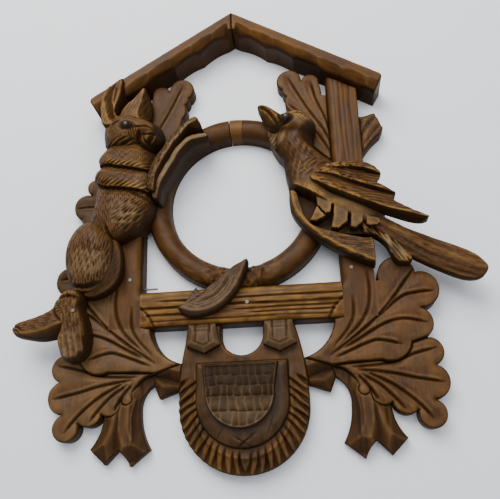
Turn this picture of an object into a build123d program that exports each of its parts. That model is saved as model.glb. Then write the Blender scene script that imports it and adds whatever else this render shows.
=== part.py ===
from build123d import *
import os
from math import atan, cos, sin, degrees

# Carved front frame of a hunter-style cuckoo clock, lying on its back.
# Millimetres. +Z points out of the carved face, +Y to the roof ridge, +X to the right.
# The origin is the centre of the dial opening, on the back plane of the frame.

# ---- driving dimensions ------------------------------------------------------------
dial_radius = 38.5          # opening that the clock dial shows through
ring_width = 13.0           # dial ring, from the opening to its outer edge
ring_depth = 12.0           # dial ring, back to crest
ring_wall = 6.0             # straight wall below the half-round face
splice_width = 7.8          # piece let into the ring where it once broke

ridge_height = 117.6        # top of the roof over the dial centre
eave_reach = 84.9           # half width over the two eaves
eave_drop = 51.7            # fall of the roof from ridge to eave
board_width = 10.0          # roof board across its slope
board_depth = 20.0          # roof board, back to front
scallop_count = 3           # scallops under each board, between ridge and post
scallop_depth = 1.3
scallop_start = 4.0         # the ridge keeps a plain rib this wide each side

post_inner = 53.0           # half width between the two posts
post_width = 17.0
post_depth = 12.0
post_chamfer = 4.5
rail_top = 50.7             # the rail's upper face, below the dial centre
rail_width = 19.2
rail_depth = 13.0
rail_chamfer = 3.0

leaf_depth = 12.0           # rising leaves and the leaf behind the hare
thin_leaf_depth = 10.0      # upper and drooping leaves, branches, twig and knuckles
overlay_base = 6.0          # how low the parts that hug the ring reach

bag_half_width = 33.0
bag_shoulder = 112.0        # where the bag's straight sides turn into its round bottom
bag_depth = 10.0
pouch_depth = 4.0
flap_depth = 3.0
tab_depth = 6.0
notch_radius = 11.0         # half-round gap between the two hanging tabs

scroll_depth = 14.0         # scroll leaf above the straight wall of the ring
head_depth = 18.0           # hare's blocks, each above its own base
haunch_depth = 15.0
far_thigh_depth = 10.0
foot_down_depth = 13.0
foot_out_depth = 12.0
hare_body_depth = 22.0
foreleg_depths = {"upper": 20.0, "lower": 18.0}
ear_depths = {"near": 14.0, "far": 11.0}
bird_depth = 18.0           # bird's body block above the figures' base
near_wing_depth = 11.0
wing_overlap = 8.0          # how deep the near wing is let into the body
far_wing_depth = 10.0
tail_depth = 10.0
leg_depth = 8.0
eye_radius = 1.9
pin_radius = 0.5
pin_head_radius = 0.9
pin_head_depth = 0.4
pin_length = 6.0
pin_play = 0.05             # clearance round a pin's shank
brad_height = 5.0           # side brad above the back plane
brad_reach = 7.5            # how far the side brad stands out of the left post

# ---- sizes that follow -------------------------------------------------------------
ring_outer = dial_radius + ring_width
slope = atan(eave_drop / eave_reach)
fall = eave_drop / eave_reach
board_rise = board_width / cos(slope)
post_outer = post_inner + post_width
rail_bottom = rail_top + rail_width
figure_base = post_depth                    # back of the hare's and the bird's blocks
wing_base = figure_base + bird_depth - wing_overlap
last_scallop = post_inner - 3.0             # the scallops stop just short of the post
pieces = {}


def under_roof(x):
    """Height of the roof boards' straight lower edge at a distance x from the ridge."""
    return ridge_height - board_rise - fall * x


def outline(start, *stretches):
    """Closed outline: a point ends a straight stretch, a pair (crown, end) ends an arc."""
    here = start
    for stretch in stretches:
        if isinstance(stretch[0], tuple):
            crown, end = stretch
            ThreePointArc(here, crown, end)
            here = end
        else:
            Line(here, stretch)
            here = stretch
    if here != start:
        Line(here, start)


def on_side(side, stretches):
    """The same outline on the right (side 1) or mirrored to the left (side -1)."""
    turned = []
    for stretch in stretches:
        if isinstance(stretch[0], tuple):
            turned.append(tuple((side * x, y) for x, y in stretch))
        else:
            turned.append((side * stretch[0], stretch[1]))
    return turned


def keep(name, piece):
    """Name a finished piece, so that it is written at the end."""
    piece.part.label = name
    pieces[name] = piece


# ---- roof: two boards, mitred at the ridge -----------------------------------------
for side, hand in ((1, "right"), (-1, "left")):
    run = (last_scallop - scallop_start) / scallop_count
    roof_line = [(0, ridge_height), (eave_reach, ridge_height - eave_drop)]
    foot_x = eave_reach - board_width * sin(slope)
    roof_line.append((foot_x, under_roof(foot_x)))
    roof_line.append((last_scallop, under_roof(last_scallop)))
    for index in range(scallop_count):
        from_x = last_scallop - index * run
        crown_x = from_x - run / 2
        end_x = from_x - run
        crown = (crown_x, under_roof(crown_x) + scallop_depth)
        roof_line.append((crown, (end_x, under_roof(end_x))))
    roof_line.append((0, under_roof(0)))
    with BuildPart() as gable_board:
        with BuildSketch():
            with BuildLine():
                outline(*on_side(side, roof_line))
            make_face()
        extrude(amount=board_depth)
        eave_edges = gable_board.edges().filter_by(Axis.Z).sort_by(Axis.X)
        fillet(eave_edges[-1 if side > 0 else 0], radius=2.5)
    keep(f"gable_board_{hand}", gable_board)

# ---- posts and rail ------------------------------------------------------------------
pin_places = {
    "post_left": (-post_inner - 6.0, -43.3, post_depth),
    "cross_rail": (3.7, -rail_top - rail_width / 2 + 1.0, rail_depth),
    "post_right": (post_inner + 5.6, -43.6, post_depth),
    "hare_foot": (-84.6, -61.6, figure_base + foot_down_depth),
}
brad_place = (-post_inner, -47.2, brad_height)

for side, hand in ((1, "right"), (-1, "left")):
    with BuildPart() as post:
        with BuildSketch():
            with BuildLine():
                outline(*on_side(side, [
                    (post_inner, -rail_bottom),
                    (post_outer, -rail_bottom),
                    (post_outer, under_roof(post_outer)),
                    (post_inner, under_roof(post_inner)),
                ]))
            make_face()
        extrude(amount=post_depth)
        front_edges = post.faces().sort_by(Axis.Z)[-1].edges().filter_by(Axis.Y)
        chamfer(front_edges.sort_by(Axis.X)[0 if side > 0 else -1], length=post_chamfer)
        pin_x, pin_y, pin_z = pin_places[f"post_{hand}"]
        with Locations((pin_x, pin_y, pin_z)):
            Hole(radius=pin_radius + pin_play, depth=pin_length + pin_play)
        if hand == "left":
            with Locations(Location(brad_place, (0, 90, 0))):
                Cylinder(pin_radius + pin_play, pin_length + pin_play, mode=Mode.SUBTRACT,
                         align=(Align.CENTER, Align.CENTER, Align.MAX))
    keep(f"post_{hand}", post)

with BuildPart() as cross_rail:
    with BuildSketch():
        with Locations((0, -rail_top - rail_width / 2)):
            Rectangle(2 * post_inner, rail_width)
    extrude(amount=rail_depth)
    rail_front = cross_rail.faces().sort_by(Axis.Z)[-1]
    chamfer(rail_front.edges().filter_by(Axis.X), length=rail_chamfer)
    with Locations(pin_places["cross_rail"]):
        Hole(radius=pin_radius + pin_play, depth=pin_length + pin_play)
keep("cross_rail", cross_rail)

# ---- dial ring and the splice let into its top -----------------------------------------
with BuildPart() as full_ring:
    with BuildSketch(Plane.XZ):
        with BuildLine():
            Line((dial_radius, 0), (ring_outer, 0))
            Line((ring_outer, 0), (ring_outer, ring_wall))
            ThreePointArc(
                (ring_outer, ring_wall),
                (dial_radius + ring_width / 2, ring_depth),
                (dial_radius, ring_wall),
            )
            Line((dial_radius, ring_wall), (dial_radius, 0))
        make_face()
    revolve(axis=Axis.Z)
    for neighbour in ("cross_rail", "post_left", "post_right"):
        add(pieces[neighbour].part, mode=Mode.SUBTRACT)

with BuildPart() as splice_block:
    with BuildSketch():
        with Locations((0, dial_radius + ring_width / 2)):
            Rectangle(splice_width, 2 * ring_width)
    extrude(amount=2 * ring_depth)

with BuildPart() as dial_ring:
    add(full_ring.part)
    add(splice_block.part, mode=Mode.SUBTRACT)
keep("dial_ring", dial_ring)

with BuildPart() as ring_splice:
    add(full_ring.part)
    add(splice_block.part, mode=Mode.INTERSECT)
keep("ring_splice", ring_splice)

# ---- upper leaves, glued to the posts' inner edges --------------------------------------
upper_leaf_line = [
    (post_inner, 20.0),
    (post_inner, 63.0),
    ((51.5, 62.3), (50.2, 64.5)),
    (49.3, 71.5),
    ((44.6, 77.2), (39.1, 73.7)),
    ((31.4, 81.0), (27.6, 68.0)),
    ((28.0, 65.5), (29.7, 63.4)),
    ((29.1, 58.5), (31.2, 54.4)),
    (36.0, 36.0),
]
for side, hand in ((1, "right"), (-1, "left")):
    with BuildPart() as upper_leaf:
        with BuildSketch():
            with BuildLine():
                outline(*on_side(side, upper_leaf_line))
            make_face()
        extrude(amount=thin_leaf_depth)
        add(full_ring.part, mode=Mode.SUBTRACT)
    keep(f"upper_leaf_{hand}", upper_leaf)

with BuildPart() as cut_twig:
    with BuildSketch():
        with BuildLine():
            outline(
                (post_outer, 46.5),
                (79.5, 48.3),
                (83.2, 38.8),
                (81.1, 34.6),
                ((75.6, 29.6), (post_outer, 22.0)),
            )
        make_face()
    extrude(amount=thin_leaf_depth)
keep("cut_twig", cut_twig)

with BuildPart() as back_leaf:
    with BuildSketch():
        with BuildLine():
            outline(
                (-post_outer, 24.0),
                (-82.0, 19.5),
                ((-87.0, 14.2), (-83.8, 10.0)),
                ((-94.2, 2.6), (-89.0, -4.6)),
                ((-88.5, -18.0), (-91.5, -33.0)),
                ((-101.8, -39.5), (-96.5, -48.5)),
                (-92.0, -50.9),
                (-post_outer, -50.9),
            )
        make_face()
    extrude(amount=leaf_depth)
keep("back_leaf", back_leaf)

# ---- bag: back board, pouch, flap and two hanging tabs ----------------------------------
bag_line = [
    (-27.0, -rail_bottom),
    ((-31.6, -90.0), (-bag_half_width, -bag_shoulder)),
    ((0.0, -bag_shoulder - bag_half_width + 0.6), (bag_half_width, -bag_shoulder)),
    ((31.6, -90.0), (27.0, -rail_bottom)),
    (notch_radius, -rail_bottom),
    (notch_radius, -75.0),
    ((0.0, -75.0 - notch_radius), (-notch_radius, -75.0)),
    (-notch_radius, -rail_bottom),
]
with BuildPart() as bag_back:
    with BuildSketch():
        with BuildLine():
            outline(*bag_line)
        make_face()
    extrude(amount=bag_depth)
keep("bag_back", bag_back)

pouch_top = -89.0
with BuildPart() as bag_pouch:
    with BuildSketch(Plane.XY.offset(bag_depth)):
        with BuildLine():
            outline(
                (-24.0, pouch_top),
                (-24.2, -106.0),
                ((-0.5, -132.0), (23.4, -106.0)),
                (23.4, pouch_top),
            )
        make_face()
    extrude(amount=pouch_depth)
    chamfer(bag_pouch.faces().sort_by(Axis.Z)[-1].edges(), length=1.5)
keep("bag_pouch", bag_pouch)

with BuildPart() as bag_flap:
    with BuildSketch(Plane.XY.offset(bag_depth + pouch_depth)):
        with BuildLine():
            outline(
                (-20.0, pouch_top - 2.0),
                (-18.4, -104.0),
                ((-1.0, -122.5), (16.2, -104.0)),
                (18.4, pouch_top - 2.0),
            )
        make_face()
    extrude(amount=flap_depth)
    chamfer(bag_flap.faces().sort_by(Axis.Z)[-1].edges(), length=1.0)
keep("bag_flap", bag_flap)

tab_lines = {
    "left": [(-26.5, -67.4), (-13.5, -67.4), (-10.8, -80.6), (-18.8, -84.8), (-28.6, -80.6)],
    "right": [(12.4, -67.4), (26.2, -67.4), (28.4, -81.4), (19.6, -85.4), (11.2, -81.4)],
}
for hand, tab_line in tab_lines.items():
    with BuildPart() as bag_tab:
        with BuildSketch(Plane.XY.offset(bag_depth)):
            with BuildLine():
                outline(*tab_line)
            make_face()
        extrude(amount=tab_depth)
        chamfer(bag_tab.faces().sort_by(Axis.Z)[-1].edges(), length=1.2)
        add(cross_rail.part, mode=Mode.SUBTRACT)
    keep(f"bag_tab_{hand}", bag_tab)

# ---- lower leaves, branches and knuckles, one set on each side ---------------------------
# The rising and the drooping leaf share one edge, from the knuckle out to the tip.
shared_edge = [(55.0, -92.3), (70.1, -91.9), ((81.4, -90.6), (85.5, -83.8)), (93.0, -81.5)]
right_lobes = [
    (post_outer, -52.0),
    (72.0, -51.0),
    ((79.5, -39.0), (91.0, -47.5)),
    ((102.0, -56.0), (91.7, -66.6)),
    ((97.3, -74.2), (93.0, -81.5)),
]
left_lobes = [
    (post_outer, -50.9),
    (92.0, -50.9),
    ((96.6, -58.0), (91.7, -66.6)),
    ((97.0, -75.0), (93.0, -81.5)),
]
back_along_edge = [(85.5, -83.8), ((81.4, -90.6), (70.1, -91.9)), (55.0, -92.3), (45.0, -93.2)]
hole_side = [(31.4, -89.0), ((44.3, -80.0), (48.0, -rail_bottom)), (post_outer, -rail_bottom)]

droop_lobes = [
    ((101.0, -88.0), (96.6, -95.3)),
    ((102.2, -104.0), (94.1, -112.1)),
    ((94.6, -125.2), (85.3, -116.5)),
    ((80.3, -118.7), (73.1, -112.6)),
    ((67.6, -113.7), (63.2, -106.4)),
    ((59.8, -108.6), (57.5, -103.6)),
    ((53.4, -97.0), (45.0, -93.2)),
]
branch_line = [
    (45.0, -93.2),
    (46.7, -98.6),
    ((52.6, -105.5), (53.4, -112.7)),
    ((52.2, -121.8), (48.4, -130.5)),
    (58.4, -138.4),
    ((60.8, -133.6), (64.3, -130.0)),
    (71.3, -137.2),
    (79.4, -129.3),
    ((74.8, -122.5), (72.9, -112.0)),
    (70.0, -100.0),
]
knuckle_line = [
    (30.0, -89.0),
    (31.4, -89.0),
    (45.0, -93.2),
    (46.7, -98.6),
    (43.7, -105.8),
    (30.0, -101.0),
]
for side, hand, lobes in ((1, "right", right_lobes), (-1, "left", left_lobes)):
    with BuildPart() as leaf_rising:
        with BuildSketch():
            with BuildLine():
                outline(*on_side(side, lobes + back_along_edge + hole_side))
            make_face()
        extrude(amount=leaf_depth)
        add(bag_back.part, mode=Mode.SUBTRACT)
    keep(f"leaf_rising_{hand}", leaf_rising)

    with BuildPart() as leaf_drooping:
        with BuildSketch():
            with BuildLine():
                outline(*on_side(side, [(45.0, -93.2)] + shared_edge + droop_lobes))
            make_face()
        extrude(amount=thin_leaf_depth)
    keep(f"leaf_drooping_{hand}", leaf_drooping)

    with BuildPart() as branch:
        with BuildSketch():
            with BuildLine():
                outline(*on_side(side, branch_line))
            make_face()
        extrude(amount=thin_leaf_depth)
        add(leaf_drooping.part, mode=Mode.SUBTRACT)
    keep(f"branch_{hand}", branch)

    with BuildPart() as knuckle:
        with BuildSketch():
            with BuildLine():
                outline(*on_side(side, knuckle_line))
            make_face()
        extrude(amount=thin_leaf_depth)
        add(bag_back.part, mode=Mode.SUBTRACT)
        add(leaf_rising.part, mode=Mode.SUBTRACT)
        add(branch.part, mode=Mode.SUBTRACT)
    keep(f"knuckle_{hand}", knuckle)

# ---- scroll leaf across the ring and the rail ----------------------------------------------
with BuildPart() as scroll_leaf:
    with BuildSketch(Plane.XY.offset(ring_wall)):
        with BuildLine():
            outline(
                (4.8, -37.6),
                ((0.8, -52.5), (-12.4, -63.6)),
                ((-22.0, -64.6), (-31.0, -62.4)),
                ((-28.0, -54.5), (-22.6, -50.4)),
                (-16.8, -50.6),
                ((-6.0, -43.5), (0.6, -38.0)),
            )
        make_face()
    extrude(amount=scroll_depth)
    add(full_ring.part, mode=Mode.SUBTRACT)
    add(cross_rail.part, mode=Mode.SUBTRACT)
keep("scroll_leaf", scroll_leaf)


# ---- hare ------------------------------------------------------------------------------------
def smooth(*points):
    """Closed smooth outline through the points."""
    Spline(*points, periodic=True)


def fit_round(*names):
    """Cut the finished neighbours out of the piece being built, so that it fits round them."""
    for neighbour in names:
        add(pieces[neighbour].part, mode=Mode.SUBTRACT)


with BuildPart() as hare_haunch:
    with BuildSketch(Plane.XY.offset(figure_base)):
        with Locations((-79.2, -31.0)):
            Ellipse(12.6, 19.3)
    extrude(amount=haunch_depth)
    chamfer(hare_haunch.faces().sort_by(Axis.Z)[-1].edges(), length=5.0)
    fit_round("back_leaf", "leaf_rising_left")
keep("hare_haunch", hare_haunch)

with BuildPart() as hare_far_thigh:
    with BuildSketch(Plane.XY.offset(figure_base)):
        with Locations((-75.4, -33.0)):
            Ellipse(14.4, 20.2)
    extrude(amount=far_thigh_depth)
    fit_round("hare_haunch", "back_leaf", "leaf_rising_left")
keep("hare_far_thigh", hare_far_thigh)

with BuildPart() as hare_foot_down:
    with BuildSketch(Plane.XY.offset(figure_base)):
        with BuildLine():
            smooth((-88.0, -47.0), (-82.0, -52.0), (-83.0, -60.0), (-79.2, -70.0), (-79.4, -81.0),
                   (-84.0, -86.2), (-91.0, -85.8), (-93.2, -77.0), (-91.4, -66.0), (-94.5, -54.0))
        make_face()
    extrude(amount=foot_down_depth)
    chamfer(hare_foot_down.faces().sort_by(Axis.Z)[-1].edges(), length=1.2)
    fit_round("hare_haunch", "hare_far_thigh", "back_leaf", "leaf_rising_left")
    with Locations(pin_places["hare_foot"]):
        Hole(radius=pin_radius + pin_play, depth=pin_length + pin_play)
keep("hare_foot_down", hare_foot_down)

with BuildPart() as hare_foot_out:
    with BuildSketch(Plane.XY.offset(figure_base)):
        with BuildLine():
            smooth((-90.0, -56.0), (-97.0, -57.5), (-105.0, -62.0), (-115.0, -65.6), (-118.4, -69.2),
                   (-113.0, -73.6), (-103.0, -75.2), (-92.0, -72.0))
        make_face()
    extrude(amount=foot_out_depth)
    chamfer(hare_foot_out.faces().sort_by(Axis.Z)[-1].edges(), length=1.2)
    fit_round("hare_foot_down", "back_leaf", "leaf_rising_left")
keep("hare_foot_out", hare_foot_out)

with BuildPart() as hare_head:
    with BuildSketch(Plane.XY.offset(figure_base)):
        with Locations((-61.6, 39.0)):
            Circle(11.4)
        with Locations((-46.6, 32.8)):
            Circle(7.6)
        make_hull()
    extrude(amount=head_depth)
    chamfer(hare_head.faces().sort_by(Axis.Z)[-1].edges(), length=5.5)
keep("hare_head", hare_head)

with BuildPart() as hare_body:
    with BuildSketch(Plane.XY.offset(overlay_base)):
        with BuildLine():
            smooth((-70.5, 31.0), (-75.6, 24.0), (-75.4, 18.5), (-77.8, 12.5), (-78.0, 4.0),
                   (-80.5, -6.0), (-82.0, -16.0), (-74.0, -24.0), (-62.0, -24.0), (-50.0, -18.5),
                   (-42.6, -7.0), (-41.6, 3.0), (-44.5, 13.0), (-46.0, 24.0), (-58.0, 32.0))
        make_face()
    extrude(amount=hare_body_depth)
    chamfer(hare_body.faces().sort_by(Axis.Z)[-1].edges(), length=3.0)
    fit_round("hare_haunch", "hare_head", "hare_far_thigh", "post_left", "back_leaf",
              "upper_leaf_left")
    add(full_ring.part, mode=Mode.SUBTRACT)
keep("hare_body", hare_body)

foreleg_lines = {
    "upper": [(-48.0, 14.0), (-43.0, 22.0), (-35.0, 34.0), (-27.5, 43.0), (-22.5, 46.8),
              (-18.8, 44.0), (-18.8, 39.5), (-26.0, 33.0), (-33.0, 24.0), (-40.0, 12.0)],
    "lower": [(-45.0, 0.0), (-40.4, 9.0), (-34.4, 18.8), (-27.6, 28.0), (-20.6, 33.6),
              (-15.8, 34.4), (-16.0, 29.8), (-22.0, 24.5), (-29.0, 16.0), (-35.0, 6.0), (-40.5, -3.0)],
}
for which, foreleg_line in foreleg_lines.items():
    with BuildPart() as foreleg:
        with BuildSketch(Plane.XY.offset(overlay_base)):
            with BuildLine():
                smooth(*foreleg_line)
            make_face()
        extrude(amount=foreleg_depths[which])
        add(full_ring.part, mode=Mode.SUBTRACT)
        fit_round("hare_body", "hare_head", "upper_leaf_left")
        if which == "lower":
            fit_round("hare_foreleg_upper")
    keep(f"hare_foreleg_{which}", foreleg)

ear_lines = {
    "near": [(-72.0, 42.0), (-74.4, 52.0), (-73.4, 63.0), (-69.5, 70.8), (-64.4, 75.0),
             (-63.9, 68.0), (-65.6, 60.0), (-66.0, 50.0), (-66.0, 44.0)],
    "far": [(-62.0, 46.0), (-64.2, 53.0), (-60.5, 60.0), (-50.6, 67.4), (-49.0, 60.0),
            (-50.0, 52.0), (-54.0, 46.0)],
}
for which, ear_line in ear_lines.items():
    with BuildPart() as ear:
        with BuildSketch(Plane.XY.offset(figure_base)):
            with BuildLine():
                smooth(*ear_line)
            make_face()
        extrude(amount=ear_depths[which])
        fit_round("hare_head", "gable_board_left")
        if which == "far":
            fit_round("hare_ear_near")
    keep(f"hare_ear_{which}", ear)

# ---- bird --------------------------------------------------------------------------------------
with BuildPart() as bird_wing_near:
    with BuildSketch(Plane.XY.offset(wing_base)):
        with BuildLine():
            outline(
                (40.0, 2.0),
                ((54.0, 10.0), (68.0, 8.9)),
                ((74.8, 6.2), (76.4, 1.4)),
                (73.6, -3.1),
                (82.4, -9.9),
                (80.8, -13.4),
                (97.6, -24.8),
                ((89.5, -25.6), (80.4, -21.8)),
                ((60.0, -11.6), (42.4, -1.0)),
            )
        make_face()
    extrude(amount=near_wing_depth)
keep("bird_wing_near", bird_wing_near)

with BuildPart() as bird_wing_far:
    with BuildSketch(Plane.XY.offset(figure_base)):
        with BuildLine():
            outline(
                (29.6, -2.0),
                ((41.0, -27.0), (70.2, -45.2)),
                (70.0, -31.0),
                ((46.8, -26.0), (33.4, -4.0)),
            )
        make_face()
    extrude(amount=far_wing_depth)
keep("bird_wing_far", bird_wing_far)

with BuildPart() as bird_body:
    with BuildSketch(Plane.XY.offset(overlay_base)):
        with BuildLine():
            smooth((15.4, 47.0), (20.8, 46.2), (27.6, 41.8), (34.8, 43.0), (41.8, 39.0),
                   (45.0, 27.0), (50.6, 14.0), (66.0, 4.0), (76.0, -12.0), (74.0, -24.0),
                   (56.0, -26.0), (38.0, -20.0), (31.0, -8.0), (28.4, 4.0), (26.8, 17.0),
                   (23.6, 28.0), (19.8, 36.0))
        make_face()
    extrude(amount=figure_base - overlay_base + bird_depth)
    chamfer(bird_body.faces().sort_by(Axis.Z)[-1].edges(), length=0.8)
    fit_round("bird_wing_near", "bird_wing_far", "post_right", "upper_leaf_right")
    add(full_ring.part, mode=Mode.SUBTRACT)
keep("bird_body", bird_body)

with BuildPart() as bird_tail:
    with BuildSketch(Plane.XY.offset(figure_base)):
        with BuildLine():
            outline(
                (62.0, -14.0),
                (79.0, -21.5),
                ((101.0, -33.0), (119.4, -42.4)),
                ((125.4, -49.6), (118.4, -55.6)),
                ((99.0, -48.8), (81.0, -33.0)),
            )
        make_face()
    extrude(amount=tail_depth)
    fit_round("bird_body", "bird_wing_far", "leaf_rising_right")
keep("bird_tail", bird_tail)

with BuildPart() as bird_leg:
    with BuildSketch(Plane.XY.offset(figure_base)):
        with BuildLine():
            outline(
                (68.0, -18.0),
                (64.0, -29.0),
                ((75.0, -32.0), (80.4, -42.6)),
                (87.0, -44.8),
                ((89.0, -39.0), (92.0, -32.0)),
            )
        make_face()
    extrude(amount=leg_depth)
    fit_round("bird_body", "bird_wing_far", "bird_tail", "leaf_rising_right")
keep("bird_leg", bird_leg)

# ---- eyes and pins --------------------------------------------------------------------------------
eye_places = {
    "hare_eye": (-58.8, 41.2, figure_base + head_depth),
    "bird_eye": (29.4, 37.7, figure_base + bird_depth),
}
for name, place in eye_places.items():
    with BuildPart() as eye:
        with Locations(place):
            Sphere(eye_radius)
            Box(4 * eye_radius, 4 * eye_radius, 2 * eye_radius, mode=Mode.SUBTRACT,
                align=(Align.CENTER, Align.CENTER, Align.MAX))
    keep(name, eye)

with BuildPart() as panel_pins:
    for place in pin_places.values():
        with Locations(place):
            Cylinder(pin_head_radius, pin_head_depth,
                     align=(Align.CENTER, Align.CENTER, Align.MIN))
            Cylinder(pin_radius, pin_length,
                     align=(Align.CENTER, Align.CENTER, Align.MAX))
keep("panel_pins", panel_pins)

# A headless brad that has worked its way out of the left post, into the gap above the rail.
with BuildPart() as side_brad:
    with Locations(Location(brad_place, (0, 90, 0))):
        Cylinder(pin_radius, pin_length, align=(Align.CENTER, Align.CENTER, Align.MAX))
        Cylinder(pin_radius, brad_reach, align=(Align.CENTER, Align.CENTER, Align.MIN))
keep("side_brad", side_brad)

# ---- write every piece ---------------------------------------------------------------------------
os.makedirs("parts", exist_ok=True)
for name, piece in pieces.items():
    export_step(piece.part, f"parts/{name}.step")
print(len(pieces), "pieces; roof slope", round(degrees(slope), 1), "degrees")
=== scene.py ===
"""Carved front frame of a hunter-style cuckoo clock, lying on its back on pale cloth.

Every carved piece is a surface z = top(x, y) over the outline of its CAD block, worked out in
millimetres with numpy and put into a mesh in metres.
"""
import math

import bpy
import numpy as np
from mathutils import Matrix, Vector
from mathutils.geometry import delaunay_2d_cdt


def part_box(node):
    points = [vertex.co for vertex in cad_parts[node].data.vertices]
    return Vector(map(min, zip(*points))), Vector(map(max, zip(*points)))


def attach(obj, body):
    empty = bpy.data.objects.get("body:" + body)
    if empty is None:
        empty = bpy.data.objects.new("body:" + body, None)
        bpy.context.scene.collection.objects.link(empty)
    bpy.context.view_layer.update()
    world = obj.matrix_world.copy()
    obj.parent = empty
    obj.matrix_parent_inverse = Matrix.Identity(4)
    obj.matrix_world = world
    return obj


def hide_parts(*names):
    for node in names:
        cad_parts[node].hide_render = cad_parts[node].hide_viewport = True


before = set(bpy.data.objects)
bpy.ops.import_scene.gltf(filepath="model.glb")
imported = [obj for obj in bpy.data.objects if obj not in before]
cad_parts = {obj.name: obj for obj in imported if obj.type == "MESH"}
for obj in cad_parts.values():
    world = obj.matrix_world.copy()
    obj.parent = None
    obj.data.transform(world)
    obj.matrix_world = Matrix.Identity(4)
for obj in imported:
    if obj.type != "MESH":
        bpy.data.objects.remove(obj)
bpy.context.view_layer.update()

MM = 0.001
FINE = 0.55                 # spacing of the points on a carved board, in millimetres
BODY = "root"


def box_mm(node):
    """Lowest and highest corner of a CAD node, in millimetres."""
    low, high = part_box(node)
    return np.array(low) / MM, np.array(high) / MM


# Heights of the frame's levels and the main places, in millimetres, read from the CAD model.
RING_OUTER, _, RING_DEPTH = box_mm("dial_ring")[1]
RING_INNER = 38.5
RING_ARC = 45.0             # lengths round the ring are counted at this radius
(POST_INNER, POST_FOOT, _), (POST_OUTER, _, POST_DEPTH) = box_mm("post_right")
(_, RAIL_BOTTOM, _), (_, RAIL_TOP, RAIL_DEPTH) = box_mm("cross_rail")
_, RIDGE, ROOF_DEPTH = box_mm("gable_board_right")[1]
LEAF_DEPTH, THIN_DEPTH, BAG_DEPTH, FLAP_DEPTH, TAB_DEPTH = (
    box_mm(node)[1][2] for node in ("leaf_rising_right", "leaf_drooping_right", "bag_back", "bag_flap",
                                    "bag_tab_right"))
BAG_SHOULDER = 112.0        # how far below the dial's centre the bag's sides begin to round in
FIGURE_BASE = 12.0          # the back of the figures, on the face of the posts
FIGURE_FINE = 0.42          # spacing of the points on a figure


# ---- plane geometry --------------------------------------------------------------------
def curve(points, step=0.8, closed=False):
    """Catmull-Rom curve through the points: each span is the usual cubic of four points."""
    given = np.asarray(points, float)
    if closed:
        held = np.vstack([given[-1:], given, given[:2]])
    else:
        held = np.vstack([2 * given[:1] - given[1:2], given, 2 * given[-1:] - given[-2:-1]])
    rows = []
    for a, b, c, d in zip(held[:-3], held[1:-2], held[2:-1], held[3:]):
        count = max(2, math.ceil(np.linalg.norm(c - b) / step))
        t = np.arange(count)[:, None] / count
        rows.append(0.5 * (2 * b + (c - a) * t + (2 * a - 5 * b + 4 * c - d) * t ** 2
                           + (3 * b - a - 3 * c + d) * t ** 3))
    if not closed:
        rows.append(given[-1:])
    return np.vstack(rows)


def resample(outline, step):
    """The same closed outline with every side cut into lengths no longer than step."""
    rows = []
    for a, b in zip(outline, np.roll(outline, -1, axis=0)):
        count = max(1, math.ceil(np.linalg.norm(b - a) / step))
        rows.append(a + (b - a) * np.arange(count)[:, None] / count)
    return np.vstack(rows)


def to_path(xy, path, closed=False):
    """Signed distance (left of the path is plus) and share of the way along, for each point."""
    ends = np.vstack([path, path[:1]]) if closed else np.asarray(path, float)
    run = np.diff(ends, axis=0)
    length = np.maximum(np.hypot(run[:, 0], run[:, 1]), 1e-9)
    before = np.concatenate([[0.0], np.cumsum(length)[:-1]])
    away = np.empty(len(xy))
    along = np.empty(len(xy))
    block = max(1, 2_000_000 // len(run))
    for first in range(0, len(xy), block):
        part = xy[first:first + block]
        rel = part[:, None, :] - ends[None, :-1, :]
        share = (rel * run).sum(2) / length ** 2
        share = unit(share)
        gap = rel - share[..., None] * run
        distance = np.hypot(gap[..., 0], gap[..., 1])
        best = distance.argmin(1)
        rows = np.arange(len(part))
        cross = run[best, 0] * rel[rows, best, 1] - run[best, 1] * rel[rows, best, 0]
        away[first:first + block] = distance[rows, best] * np.where(cross < 0, -1.0, 1.0)
        along[first:first + block] = before[best] + share[rows, best] * length[best]
    return away, along / length.sum()


def inside(xy, outline):
    """Whether each point is inside the closed outline, by counting crossings."""
    ahead = np.roll(outline, -1, axis=0)
    answer = np.zeros(len(xy), bool)
    block = max(1, 4_000_000 // len(outline))
    for first in range(0, len(xy), block):
        x = xy[first:first + block, 0][:, None]
        y = xy[first:first + block, 1][:, None]
        spans = (outline[:, 1] > y) != (ahead[:, 1] > y)
        rise = np.where(ahead[:, 1] == outline[:, 1], 1e-9, ahead[:, 1] - outline[:, 1])
        crossing = outline[:, 0] + (y - outline[:, 1]) / rise * (ahead[:, 0] - outline[:, 0])
        answer[first:first + block] = ((spans & (x < crossing)).sum(1) % 2) == 1
    return answer


def back_outline(node):
    """The plan outline of a CAD node: the longest loop round its lowest flat face, in mm."""
    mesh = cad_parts[node].data
    mesh.calc_loop_triangles()
    places = np.empty(len(mesh.vertices) * 3)
    mesh.vertices.foreach_get("co", places)
    places = np.round(places.reshape(-1, 3) / MM, 3)
    merged, number = np.unique(places, axis=0, return_inverse=True)
    corners = np.empty(len(mesh.loop_triangles) * 3, int)
    mesh.loop_triangles.foreach_get("vertices", corners)
    faces = number.reshape(-1)[corners].reshape(-1, 3)
    flat = (merged[faces][:, :, 2] < merged[:, 2].min() + 0.01).all(1)
    sides = np.vstack([faces[flat][:, [0, 1]], faces[flat][:, [1, 2]], faces[flat][:, [2, 0]]])
    pairs = set(map(tuple, sides.tolist()))
    follow = {a: b for a, b in pairs if (b, a) not in pairs}
    longest = []
    while follow:
        start, here = follow.popitem()
        loop = [start]
        while here != start and here in follow:
            loop.append(here)
            here = follow.pop(here)
        if len(loop) > len(longest):
            longest = loop
    ring = merged[longest][:, :2]
    x, y = ring[:, 0], ring[:, 1]
    turning = (x * np.roll(y, -1) - y * np.roll(x, -1)).sum()
    return ring if turning > 0 else ring[::-1]


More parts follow.
